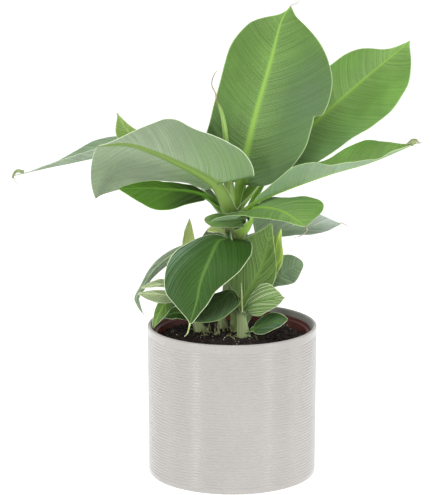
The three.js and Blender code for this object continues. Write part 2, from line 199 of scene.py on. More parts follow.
def tube(path, radii, sides=8, start=(0.31, 0.74, 0.6)):
    # a tube along a path: each ring stands square to it, with one radius or one for each point
    path = np.asarray(path, float)
    ahead = unit(np.gradient(path, axis=0))
    side = unit(np.cross(ahead, start))
    across = np.cross(ahead, side)
    angle = 2 * np.pi * np.arange(sides) / sides
    radii = np.asarray(radii).reshape(len(path), -1)
    rings = (path[:, None] + side[:, None] * (radii * np.cos(angle))[..., None]
             + across[:, None] * (radii * np.sin(angle))[..., None])
    return rings.reshape(-1, 3), skinRings(len(path), sides)


class Nodes:
    # a short hand for making nodes and links in a material or a group
    def __init__(self, tree):
        self.tree = tree

    def add(self, kind, inputs=None, **settings):
        node = self.tree.nodes.new(kind)
        for key, value in settings.items():
            setattr(node, key, value)
        for key, value in (inputs or {}).items():
            socket = node.inputs[key]
            if isinstance(value, bpy.types.NodeSocket):
                self.tree.links.new(value, socket)
            else:
                socket.default_value = value
        return node

    def link(self, source, target):
        self.tree.links.new(source, target)

    def effect(self, group, inputs=None):
        return self.add("ShaderNodeGroup", inputs, node_tree=group).outputs

    def stored(self, key):
        return self.add("ShaderNodeAttribute", attribute_name=key).outputs["Fac"]

    def math(self, operation, a, b=0.0):
        return self.add("ShaderNodeMath", {0: a, 1: b}, operation=operation).outputs[0]

    def times(self, a, b):
        return self.math("MULTIPLY", a, b)

    def blend(self, share, a, b):
        # the sockets 0, 6 and 7 of a colour mix are its share and its two colours
        return self.add("ShaderNodeMix", {0: share, 6: a, 7: b}, data_type="RGBA").outputs[2]

    def span(self, value, low, high, toLow=0.0, toHigh=1.0):
        node = self.add("ShaderNodeMapRange", {0: value, 1: low, 2: high, 3: toLow, 4: toHigh})
        return node.outputs[0]


def newGroup(name, inputs, outputs):
    # a group of effects, whose sockets are all numbers
    group = bpy.data.node_groups.new(name, "ShaderNodeTree")
    for key, start in inputs.items():
        socket = group.interface.new_socket(name=key, in_out="INPUT", socket_type="NodeSocketFloat")
        socket.default_value = start
    for key in outputs:
        group.interface.new_socket(name=key, in_out="OUTPUT", socket_type="NodeSocketFloat")
    nodes = Nodes(group)
    return group, nodes, nodes.add("NodeGroupInput").outputs, nodes.add("NodeGroupOutput").inputs


def newFinish(name, settings):
    # a material whose shader has these settings, with what makes its nodes and the shader's inputs
    finish = bpy.data.materials.new(name)
    finish.use_nodes = True
    shader = finish.node_tree.nodes["Principled BSDF"].inputs
    for key, value in settings.items():
        shader[key].default_value = value
    return finish, Nodes(finish.node_tree), shader


# The stripes of a leaf: how close they stand, in stripes for each spacing of the side veins, and the
# two levels of noise between which a stripe fades in
veinSizes = {"Fine": (1.1, 0.5, 0.64), "Coarse": (0.5, 0.44, 0.64), "Broad": (0.15, 0.4, 0.62),
             "Streak": (0.36, 0.56, 0.63)}


def makeSideVeins():
    # the parallel side veins of a leaf: one-dimensional noise over the place where a vein leaves the
    # midrib, in four sizes of irregular stripes
    group, nodes, given, out = newGroup(
        "sideVeins", {"Vein Line": 0.0, "Spacing": 0.0018}, [*veinSizes, "Height"])
    step = nodes.math("DIVIDE", given["Vein Line"], given["Spacing"])
    masks = {}
    for key, (rate, low, high) in veinSizes.items():
        place = nodes.times(step, rate)
        noise = nodes.add("ShaderNodeTexNoise", {"W": place, "Detail": 1.0}, noise_dimensions="1D")
        masks[key] = nodes.span(noise.outputs[0], low, high)
        nodes.link(masks[key], out[key])
    nodes.link(nodes.math("ADD", nodes.times(masks["Fine"], 0.5), masks["Coarse"]), out["Height"])
    return group


def makeMottle():
    # slow changes of tone over a living surface
    group, nodes, given, out = newGroup("mottle", {"Size": 20.0, "Low": 0.4, "High": 0.6}, ["Mask"])
    place = nodes.add("ShaderNodeTexCoord").outputs["Object"]
    noise = nodes.add("ShaderNodeTexNoise", {"Vector": place, "Scale": given["Size"], "Detail": 4.0})
    nodes.link(nodes.span(noise.outputs[0], given["Low"], given["High"]), out["Mask"])
    return group


def makeSpeckle():
    # small grains of another tone
    group, nodes, given, out = newGroup("speckle", {"Size": 400.0, "Amount": 0.1}, ["Mask"])
    place = nodes.add("ShaderNodeTexCoord").outputs["Object"]
    cells = nodes.add("ShaderNodeTexVoronoi", {"Vector": place, "Scale": given["Size"]})
    nodes.link(nodes.math("LESS_THAN", cells.outputs["Distance"], given["Amount"]), out["Mask"])
    return group


sideVeins = makeSideVeins()
mottle = makeMottle()
speckle = makeSpeckle()
print("shader groups made")


def patchedFinish(name, size, dark, light, settings, rough=None, specks=None):
    # two screen colours in slow patches, over which the roughness goes from one value to another,
    # and specks of a third colour
    finish, nodes, shader = newFinish(name, settings)
    patches = nodes.effect(mottle, {"Size": size})["Mask"]
    base = nodes.blend(patches, colour(*dark), colour(*light))
    if specks:
        grains = nodes.effect(speckle, {"Size": specks["size"], "Amount": specks["amount"]})["Mask"]
        base = nodes.blend(nodes.times(grains, specks["share"]), base, colour(*specks["tone"]))
    nodes.link(base, shader["Base Color"])
    if rough:
        nodes.link(nodes.span(patches, 0, 1, *rough), shader["Roughness"])
    return finish, nodes, shader


# Leaf finishes, in screen colours. upper, under: the two sides of the blade. vein, rib, edge: fine
# side veins, midrib and margin. shade: what the blade turns to by the neck, by shadeShare, and
# altogether at the leaf's spot. It is painted shade in tall, lush and waxy, a painted blue-grey
# sheen in deep, a lighter strip in dark, whose upper colour is itself darkened as painted shade, the
# leaf's own greener base in silver, a bluer green in fresh and a darker green in the other looks.
# contrast: how clear the side veins are. stripe: light streaks, by stripeShare, and only at the spot
# where stripeSpot is set, where they are a painted sheen.
leafLooks = {
    "fresh": dict(upper=(110, 158, 64), under=(140, 163, 136), vein=(176, 212, 132), rib=(140, 182, 76),
                  edge=(184, 210, 146), shade=(108, 148, 92), shadeShare=0.6, contrast=1.0),
    # tall: its shade is painted shade, by the neck and at leaf_top's spot
    "tall": dict(upper=(87, 126, 47), under=(138, 164, 122), vein=(158, 196, 114), rib=(134, 174, 72),
                 edge=(186, 210, 152), shade=(71, 99, 72), shadeShare=0.75, contrast=1.0),
    # lush: its near-black shade is a painted shadow, by the neck and at the spot
    "lush": dict(upper=(68, 110, 24), under=(128, 152, 106), vein=(98, 142, 54), rib=(80, 122, 40),
                 edge=(140, 174, 96), shade=(6, 14, 3), shadeShare=1.0, contrast=0.5),
    # deep: at the spot its shade and stripes paint a blue-grey sheen with light streaks
    "deep": dict(upper=(45, 84, 6), under=(112, 134, 100), vein=(88, 124, 68), rib=(84, 120, 52),
                 edge=(214, 228, 186), shade=(76, 108, 74), shadeShare=0.2, contrast=0.9,
                 stripe=(170, 192, 172), stripeShare=0.6, stripeSpot=True),
    "dusk": dict(upper=(93, 129, 58), under=(112, 134, 100), vein=(100, 128, 76), rib=(80, 108, 56),
                 edge=(128, 146, 102), shade=(56, 78, 38), shadeShare=0.5, contrast=0.7),
    # dark: its upper colour is darkened as painted shade; its shade colour is a lighter strip at the
    # spot
    "dark": dict(upper=(28, 46, 10), under=(84, 104, 70), vein=(78, 106, 60), rib=(50, 74, 32),
                 edge=(150, 176, 116), shade=(80, 112, 70), shadeShare=0.0, contrast=0.9),
    "striped": dict(upper=(88, 132, 40), under=(140, 162, 116), vein=(136, 172, 80), rib=(96, 132, 64),
                    edge=(196, 212, 168), shade=(50, 84, 30), shadeShare=0.4, contrast=1.1,
                    stripe=(234, 242, 212), stripeShare=0.8),
    # lime: lighter than the leaf's own green, to stand for light through a thin leaf in shade: partly
    # painted light
    "lime": dict(upper=(178, 220, 84), under=(170, 210, 90), vein=(224, 240, 160), rib=(200, 230, 110),
                 edge=(226, 238, 176), shade=(140, 184, 66), shadeShare=0.4, contrast=0.8),
    "pale": dict(upper=(134, 178, 58), under=(158, 184, 126), vein=(200, 222, 160), rib=(160, 190, 104),
                 edge=(208, 222, 170), shade=(96, 134, 52), shadeShare=0.5, contrast=1.1),
    "young": dict(upper=(72, 118, 17), under=(140, 166, 110), vein=(148, 180, 102), rib=(112, 150, 64),
                  edge=(190, 210, 146), shade=(52, 80, 24), shadeShare=0.9, contrast=1.5,
                  stripe=(158, 192, 112), stripeShare=0.4),
    "cream": dict(upper=(142, 170, 92), under=(168, 188, 138), vein=(232, 238, 216),
                  rib=(196, 212, 156), edge=(220, 230, 196), shade=(104, 140, 56), shadeShare=0.5,
                  contrast=1.3),
    # glow: pale greens lighter than the leaves' own, to stand for light shining through them: partly
    # painted light
    "glow": dict(upper=(226, 246, 140), under=(240, 252, 190), vein=(214, 230, 170),
                 rib=(206, 222, 160), edge=(226, 234, 196), shade=(150, 186, 84), shadeShare=0.5,
                 contrast=0.8),
    # waxy: its shade is painted shade, by the neck and at the spot
    "waxy": dict(upper=(108, 138, 92), under=(131, 151, 116), vein=(182, 198, 172), rib=(108, 137, 61),
                 edge=(212, 224, 196), shade=(100, 136, 72), shadeShare=0.8, contrast=1.1),
    "mist": dict(upper=(135, 164, 122), under=(140, 158, 130), vein=(160, 180, 152),
                 rib=(140, 164, 126), edge=(186, 202, 176), shade=(108, 140, 96), shadeShare=0.5,
                 contrast=0.6, stripe=(206, 218, 202), stripeShare=0.35),
    "silver": dict(upper=(196, 212, 198), under=(156, 174, 154), vein=(226, 232, 226),
                   rib=(170, 188, 164), edge=(216, 226, 210), shade=(108, 156, 60), shadeShare=1.0,
                   contrast=1.2),
}
driedTip = (120, 104, 78)
sheathTones = dict(main=[(92, 106, 62), (122, 138, 84)], shoot=[(150, 172, 108), (212, 224, 178)])
# How a leaf finish is mixed. Each pair is the low and the high end of a span, and each share says
# how strongly an effect covers what lies under it.
leafMix = dict(patchSize=22.0, patchGain=[0.78, 1.05], cloudSize=9.0, cloudGain=[0.45, 1.25],
               shadeSpotShare=0.85, ribReach=[0.004, 0.034], farFromRib=0.3, broadShare=0.6, coarseShare=0.5,
               fineShare=0.8, darkVein=0.5, grainSpacing=0.0012, ribGrainShare=0.25, ribGrain=0.7,
               sheathShare=0.85, roughLess=0.05, roughMore=0.07, bumpStrength=0.5, bumpDepth=0.0002,
               specular=0.32, darkSpecular=0.2, darkBelow=112)


def scaled(rgb, gain):
    # a screen colour made lighter or darker in linear light
    return tuple(np.array(colour(*rgb)[:3]) * gain) + (1.0,)


def leafFinish(name, look, base, rough, strength):
    # from below: patches of tone, the look's shade colour by the neck and at the spot (painted
    # shade in some looks and a painted sheen in deep, as listed at leafLooks), the veins, the midrib
    # with its grain, the sheath, the margin, and the dry tip
    m = leafMix
    specular = m["darkSpecular" if max(base) < m["darkBelow"] else "specular"]
    finish, nodes, shader = newFinish(name, {"Roughness": rough, "Specular IOR Level": specular})
    tones = {key: colour(*look[key]) for key in ("vein", "rib", "edge", "shade")}
    patches = nodes.effect(mottle, {"Size": m["patchSize"]})["Mask"]
    clouds = nodes.effect(mottle, {"Size": m["cloudSize"]})["Mask"]
    veins = nodes.effect(sideVeins, {"Vein Line": nodes.stored("veinLine")})
    acrossLine = nodes.stored("acrossLine")
    grain = nodes.effect(sideVeins, {"Vein Line": acrossLine, "Spacing": m["grainSpacing"]})
    blade = nodes.blend(patches, *[scaled(base, gain) for gain in m["patchGain"]])
    # the look's shade colour by the neck and at the spot, where it paints shade in some looks
    for key, share in (("neckShadeShare", look["shadeShare"]), ("shadeSpotShare", m["shadeSpotShare"])):
        blade = nodes.blend(nodes.times(nodes.stored(key), share), blade, tones["shade"])
    nearRib = nodes.span(nodes.math("ABSOLUTE", acrossLine), *m["ribReach"], 1.0, m["farFromRib"])
    uneven = nodes.span(clouds, 0.0, 1.0, *m["cloudGain"])
    dark = scaled(base, m["darkVein"])
    for key, share, tone, fading in (("Broad", m["broadShare"], dark, uneven),
                                     ("Coarse", m["coarseShare"], dark, uneven),
                                     ("Fine", m["fineShare"], tones["vein"], nearRib)):
        amount = nodes.times(nodes.times(veins[key], share * strength * look["contrast"]), fading)
        blade = nodes.blend(amount, blade, tone)
    # light streaks; with stripeSpot they lie only at the spot, as a painted sheen
    if "stripe" in look:
        amount = nodes.times(veins["Streak"], look["stripeShare"])
        if "stripeSpot" in look:
            amount = nodes.times(amount, nodes.stored("shadeSpotShare"))
        blade = nodes.blend(amount, blade, colour(*look["stripe"]))
    ribbed = nodes.blend(nodes.stored("ribShare"), blade, tones["rib"])
    ribLines = nodes.times(nodes.stored("ribShare"), nodes.times(grain["Fine"], m["ribGrainShare"]))
    ribbed = nodes.blend(ribLines, ribbed, scaled(look["rib"], m["ribGrain"]))
    main, shoot = (nodes.blend(grain["Coarse"], *[colour(*tone) for tone in sheathTones[key]])
                   for key in ("main", "shoot"))
    sheath = nodes.blend(nodes.stored("shootShare"), main, shoot)
    covered = nodes.blend(nodes.times(nodes.stored("sheathShare"), m["sheathShare"]), ribbed, sheath)
    edged = nodes.blend(nodes.stored("edgeShare"), covered, tones["edge"])
    dried = nodes.blend(nodes.stored("dryShare"), edged, colour(*driedTip))
    nodes.link(dried, shader["Base Color"])
    bump = nodes.add("ShaderNodeBump", {
        "Height": veins["Height"], "Strength": m["bumpStrength"], "Distance": m["bumpDepth"]})
    nodes.link(bump.outputs[0], shader["Normal"])
    roughness = nodes.span(patches, 0.0, 1.0, rough - m["roughLess"], rough + m["roughMore"])
    nodes.link(roughness, shader["Roughness"])
    return finish


leafFinishes = {}
for lookName, look in leafLooks.items():
    leafFinishes[lookName] = [leafFinish(lookName + "LeafUpper", look, look["upper"], 0.4, 1.0),
                              leafFinish(lookName + "LeafUnder", look, look["under"], 0.5, 0.7)]
print("leaf finishes made")

# Cover pot: straight wall with a smooth band under the rim and fine turned ribs below it
coverPot = dict(diameter=190, height=171, wall=3.8, floor=6, draft=1, footRounding=2.5, smoothBand=8.6,
                ribPitch=3.4, ribDepth=0.6, ribSharpness=2.2, pointsPerRib=7, footBand=3.2, segments=192)


def potFinish():
    return patchedFinish(
        "offWhiteGlaze", 9.0, (162, 159, 155), (167, 164, 160),
        {"Roughness": 0.26, "Specular IOR Level": 0.3, "Sheen Weight": 0.6, "Sheen Roughness": 0.4,
         "Coat Weight": 0.06, "Coat Roughness": 0.14},
        (0.24, 0.3), dict(size=500.0, amount=0.12, share=0.12, tone=(168, 160, 150)))[0]


def makeCoverPot():
    # the wall's outline is a line with grooves, a cosine wave of one rib pitch raised to a power;
    # foot, rim and the inner corner are arcs
    s = coverPot
    outer = s["diameter"] / 2
    foot = outer - s["draft"]
    lip = s["wall"] / 2
    top = s["height"] - s["smoothBand"]
    ribs = int((top - s["footBand"]) / s["ribPitch"])
    z = top - np.arange(ribs * s["pointsPerRib"], -1, -1) * s["ribPitch"] / s["pointsPerRib"]
    wave = (1 - np.cos(2 * np.pi * (top - z) / s["ribPitch"])) / 2
    wallRadius = foot + (outer - foot) * z / s["height"] - s["ribDepth"] * wave ** s["ribSharpness"]
    wall = np.stack([wallRadius, z], -1)
    inner = outer - s["wall"]
    outline = np.concatenate([
        [[0, 0]], [[30, 0]], [[60, 0]],
        arcOf(foot - s["footRounding"], s["footRounding"], s["footRounding"], -90, 0, 5),
        wall,
        arcOf(outer - lip, s["height"] - lip, lip, 0, 180, 12),
        [[inner - 0.3, 120]], [[inner - 0.6, 60]],
        arcOf(inner - s["draft"] - s["footRounding"], s["floor"] + s["footRounding"], s["footRounding"],
              0, -90, 4),
        [[0, s["floor"]]]])
    points, faces = turnProfile(outline[:, 0], outline[:, 1], s["segments"])
    return makePiece("cover_pot_glazed", points, faces, [potFinish()], "cover_pot")


# Growing pot: its rim stands below the cover pot's
growingPot = dict(rimDiameter=177, rimDepth=6, baseDiameter=132, wall=1.8, lip=3, lipHeight=5,
                  lipFold=0.8, clearance=0.3, segments=160)


def growingPotFinish():
    return patchedFinish(
        "redBrownPlastic", 40.0, (82, 34, 28), (98, 44, 36), {"Roughness": 0.5},
        (0.42, 0.6), dict(size=700.0, amount=0.16, share=0.5, tone=(66, 46, 38)))[0]


def makeGrowingPot():
    # a tapered cup with a folded lip; every corner of the outline is a short arc
    s = growingPot
    top = coverPot["height"] - s["rimDepth"]
    bottom = coverPot["floor"] + s["clearance"]
    rim, base = s["rimDiameter"] / 2, s["baseDiameter"] / 2
    neck = rim - s["lip"]
    fold = s["lipFold"]
    outline = np.concatenate([
        [[0, bottom]], arcOf(base - 1.5, bottom + 1.5, 1.5, -90, 0, 3),
        [[neck, top - s["lipHeight"] - 0.4]],
        arcOf(rim - 0.5, top - s["lipHeight"] + 0.5, 0.5, -90, 0, 3),
        arcOf(rim - fold, top - fold, fold, 0, 180, 8),
        [[rim - 2 * fold - 0.2, top - 2.6]],
        [[neck - s["wall"], top - 3.6]],
        [[(neck + base) / 2 - s["wall"], (top + bottom) / 2]],
        [[base - s["wall"], bottom + s["wall"]]], [[0, bottom + s["wall"]]]])
    points, faces = turnProfile(outline[:, 0], outline[:, 1], s["segments"])
    return makePiece("growing_pot_moulded", points, faces, [growingPotFinish()], "growing_pot",
                     sharp=40)


makeCoverPot()
makeGrowingPot()
print("pots made")

# Soil: a rough heaped surface with loose grains, white mineral bits and fine roots
# depth: below the cover pot's rim. lump: height of the surface's lumps, and their two sizes. heaps:
# where many of the white bits lie, and how wide.
soilBed = dict(depth=16, dome=3, domeRadius=82, edgeRadius=81.6, baseRadius=63.6, rings=90,
               segments=220, lump=1.5, lumpSizes=[7, 2.6], grains=5200, grainSize=[0.6, 2.4],
               bits=190, bitSize=[0.4, 1.1],
               heaps=[[60, 50, 5], [58, 40, 4], [22, -11, 4], [64, 56, 4]])


def soilHeight(x, y):
    # a dome that falls with the square of the radius, plus two sizes of lumps
    s = soilBed
    dome = s["dome"] * np.clip(1 - (np.hypot(x, y) / s["domeRadius"]) ** 2, 0, 1)
    large, small = (smoothNoise(x + 300, y + 300, size, seed + n)
                    for n, size in enumerate(s["lumpSizes"]))
    lumps = (large + small * 0.5) * s["lump"]
    return coverPot["height"] - s["depth"] + dome + lumps - 0.8


def soilFinish(name, dark, light, rough):
    # two tones, with a bump of fine crumbs
    finish, nodes, shader = patchedFinish(name, 260.0, dark, light, {"Roughness": rough})
    place = nodes.add("ShaderNodeTexCoord").outputs["Object"]
    crumbs = nodes.add("ShaderNodeTexNoise", {"Vector": place, "Scale": 900.0, "Detail": 3.0})
    bump = nodes.add(
        "ShaderNodeBump", {"Height": crumbs.outputs[0], "Strength": 0.6, "Distance": 0.0005})
    nodes.link(bump.outputs[0], shader["Normal"])
    return finish


def makeSoil():
    # the top is a disc of rings raised by the height rule; side and bottom follow the pot's wall
    s = soilBed
    bottom = coverPot["floor"] + growingPot["clearance"] * 2 + growingPot["wall"]
    ring = np.concatenate([[0, s["baseRadius"]], np.linspace(s["edgeRadius"], 0, s["rings"])])
    height = np.concatenate([[bottom, bottom], np.full(s["rings"], coverPot["height"] - s["depth"])])
    points, faces = turnProfile(ring, height, s["segments"])
    onTop = points[:, 2] > bottom + 1
    points[onTop, 2] = soilHeight(points[onTop, 0], points[onTop, 1])
    finish = soilFinish("darkSoil", (18, 13, 11), (44, 33, 27), 0.9)
    return makePiece("soil_surface", points, faces, [finish], "soil", sharp=180)


def scatterLumps(name, count, sizes, finishes, spread, lumpSeed, sink, heapShare=0.0):
    # copies of a twelve-cornered lump, each stretched and turned its own way and sat in the soil,
    # some of them near the heaps
    rng = np.random.default_rng(lumpSeed)
    heaps = np.array(soilBed["heaps"])
    g = (1 + 5 ** 0.5) / 2  # the golden ratio, for the corners of an icosahedron
    corners = np.array([[-1, g, 0], [1, g, 0], [-1, -g, 0], [1, -g, 0], [0, -1, g], [0, 1, g],
                        [0, -1, -g], [0, 1, -g], [g, 0, -1], [g, 0, 1], [-g, 0, -1], [-g, 0, 1]])
    corners = corners / math.hypot(1, g)
    sides = np.array([[0, 11, 5], [0, 5, 1], [0, 1, 7], [0, 7, 10], [0, 10, 11], [1, 5, 9], [5, 11, 4],
                      [11, 10, 2], [10, 7, 6], [7, 1, 8], [3, 9, 4], [3, 4, 2], [3, 2, 6], [3, 6, 8],
                      [3, 8, 9], [4, 9, 5], [2, 4, 11], [6, 2, 10], [8, 6, 7], [9, 8, 1]])
    radius = spread * np.sqrt(rng.uniform(0, 1, count))
    angle = rng.uniform(0, 2 * np.pi, count)
    x, y = radius * np.cos(angle), radius * np.sin(angle)
    heap = rng.integers(0, len(heaps), count)
    near = rng.uniform(0, 1, count) < heapShare
    x = np.where(near, heaps[heap, 0] + rng.normal(0, 1, count) * heaps[heap, 2], x)
    y = np.where(near, heaps[heap, 1] + rng.normal(0, 1, count) * heaps[heap, 2], y)
    size = sizes[0] + (sizes[1] - sizes[0]) * rng.uniform(0, 1, count) ** 2.2
    stretch = rng.uniform(0.45, 1.0, (count, 1, 3)) * size[:, None, None]
    shape = corners[None] * stretch * rng.uniform(0.8, 1.15, (count, 12, 1))
    turn = np.linalg.qr(rng.normal(size=(count, 3, 3)))[0]
    turn[np.linalg.det(turn) < 0, :, 0] *= -1
    shape = np.einsum("nij,nkj->nki", turn, shape)
    place = np.stack([x, y, soilHeight(x, y) + size * sink], -1)
    points = (shape + place[:, None]).reshape(-1, 3)
    faces = (sides[None] + 12 * np.arange(count)[:, None, None]).reshape(-1, 3)
    which = np.repeat(rng.integers(0, len(finishes), count), len(sides))
    return makePiece(name, points, [faces], finishes, which=which, sharp=35)


# Roots: where they arch out of the soil and how many, and the bare stubs between the stems
rootRule = dict(bunches=[[-36, 12, 9], [-30, 2, 6], [0, -12, 7], [22, -14, 5], [-44, 22, 5]], stubs=34,
                stubsX=[-40, 2], stubsY=[2, 26])


def makeRoots():
    # thin pale roots that arch out of the soil near the shoots, each a sine arch over a line that
    # sways, and short stubs that lean as they rise
    rng = np.random.default_rng(seed + 4)
    shapes = []
    for cx, cy, count in rootRule["bunches"]:
        for _ in range(count):
            a = rng.uniform(0, 2 * np.pi)
            reach = rng.uniform(5, 15)
            t = np.linspace(0, 1, 12)
            x = cx + rng.uniform(-7, 7) + np.cos(a) * reach * t + rng.uniform(-2, 2) * np.sin(3 * t)
            y = cy + rng.uniform(-6, 6) + np.sin(a) * reach * t + rng.uniform(-2, 2) * np.sin(4 * t)
            rise = rng.uniform(1.2, 4.5) * np.sin(np.pi * t) - 0.8
            path = np.stack([x, y, soilHeight(x, y) + rise], -1)
            shapes.append(tube(path, 0.42 - 0.25 * t, 6))
    for _ in range(rootRule["stubs"]):
        x, y = rng.uniform(*rootRule["stubsX"]), rng.uniform(*rootRule["stubsY"])
        rise, lean, turn = rng.uniform(5, 15), rng.uniform(0, 5), rng.uniform(0, 2 * np.pi)
        t = np.linspace(0, 1, 6)[:, None]
        foot = np.array([x, y, float(soilHeight(x, y)) - 1])
        path = foot + t * [lean * math.cos(turn), lean * math.sin(turn), rise]
        path = path + t ** 2 * [2 * math.sin(turn), 0, 0]
        shapes.append(tube(path, np.linspace(1.0, 0.35, 6), 7))
    points, quads = joinShapes(shapes)
    finish = soilFinish("paleRoot", (124, 132, 84), (184, 184, 140), 0.7)
    return makePiece("surface_roots", points, [quads], [finish])


makeSoil()
scatterLumps("soil_grains", soilBed["grains"], soilBed["grainSize"], [
    soilFinish("blackPeat", (16, 12, 10), (34, 26, 21), 0.9),
    soilFinish("brownBark", (34, 23, 17), (62, 44, 33), 0.85)], 80, seed + 2, 0.25)
scatterLumps("white_grains", soilBed["bits"], soilBed["bitSize"], [
    soilFinish("whiteMineral", (196, 192, 184), (232, 230, 226), 0.8)], 79, seed + 3, 0.7, 0.5)
makeRoots()
print("soil made")

# Stems. axis: from the foot up. radius: at foot and top.
stems = {
    "stem_main": dict(axis=[[7, 21, 150], [5, 19, 220], [0, 15, 292]], radius=[9, 5]),
    "stem_front_shoot": dict(axis=[[14, -4, 150], [12, -6, 170], [10, -7, 188]], radius=[3.4, 2.4]),
    "stem_left_shoot": dict(axis=[[-33, 20, 150], [-38, 20, 165], [-41, 19, 177]], radius=[4.5, 3]),
    "stem_rear_shoot": dict(axis=[[-8, 34, 150], [-11, 31, 168], [-15, 29, 184]], radius=[4, 2.5]),
}

# Leaves. The rule: a leaf is one sheet along its midrib. Low down it wraps the stem as a sheath,
# then it is the stalk's channel, and from the neck on it is the blade. Millimetres and degrees.
# on: its stem, the main one if not given. tone: its kind, which names the part's finish. look: its
# finish here, if not the tone's. layer: the sheath's place, counted from the stem's core. bare:
# length inside the stem. stalk: half width at foot and neck. ends: the power of the sine wave that
# narrows the blade by neck and tip. neck: the rib's point where the blade begins, or 1. veins:
# how far the side veins lean at the midrib, and how much more by the margin. wave: how far the
# margin swings up and down, and how often. dry: length of the dry tip. spot: where the blade turns
# to its look's shade colour, as its place from neck to tip and across, left positive, and its reach
# both ways. The spot is painted shade on leaf_top, leaf_left and leaf_left_under, a painted
# blue-grey sheen on leaf_front and leaf_at_soil, a lighter strip in the painted shade of
# leaf_low_dark, a bluer green on leaf_upright and leaf_right_low, and the greener base of
# leaf_right_far. notch: a torn place in the margin, as side, place, depth and reach. rib: points
# from the stem's axis by the neck to the tip. left, right: control values of the half width from
# neck to tip, seen from above with the tip ahead. rake: how far the left half's side veins lean to
# the tip, at even steps from neck to tip, then the right half's. face: bearing and height of what
# the upper side looks at, by neck and tip. fold: how far the left half is folded up by neck and tip,
# then the right. In face and fold one value stands for both where neck and tip are the same.
#
# leafRule has what a row has if it gives none, steps of the mesh, with small ones for blades shorter
# than bigBlade, then sizes. ribDepth and groove are shares of the midrib's half width, and the fold
# is reached in 1 / foldRise of the blade. pleats: lengths and weights of the veins' waves. ribEdges:
# where the rib's tone ends and how sharply, above and below.
leafRule = dict(stem="stem_main", rake=[[0, 20], [0, 20]], veins=[0.28, 0.22], spot=[-9, 0, 1, 1],
                dry=0.5, bigBlade=80, columns=30, smallColumns=14, rowStep=1.15, smallRowStep=1.0,
                stalkStep=1.8, ribSteps=40, ribColumns=4, crowding=1.35, thickness=0.55,
                thinShare=0.8, edgeThin=0.55, tipHalfWidth=0.5, ribDepth=0.8, groove=0.35, wing=1.3,
                stalkFold=62, foldRise=50, foldReach=4, tearWidth=0.012, upPull=1.6,
                pleats=[[3.3, 0.4], [4.7, 0.6], [7.9, 1.0], [13.0, 0.7]], pleatSlope=0.15,
                edgeWidth=0.95, edgeFade=0.8, ribEdges=[[1.6, 0.9], [1.35, 2.2]])
# A sheath starts reach below the leaf's foot. Each layer lies layerStep further out, less layerLoss
# at the top, and goes wrap radians round the stem, less wrapLoss at the top.
sheathRule = dict(reach=62, drop=10, bendDrop=4, bendSpare=6, shortest=4, joinLength=16, joinShare=0.8,
                  layerStep=1.1, layerLoss=0.5, clear=0.4, rows=30, bendRows=24, wrap=2.1,
                  wrapLoss=1.1, fade=2.2)

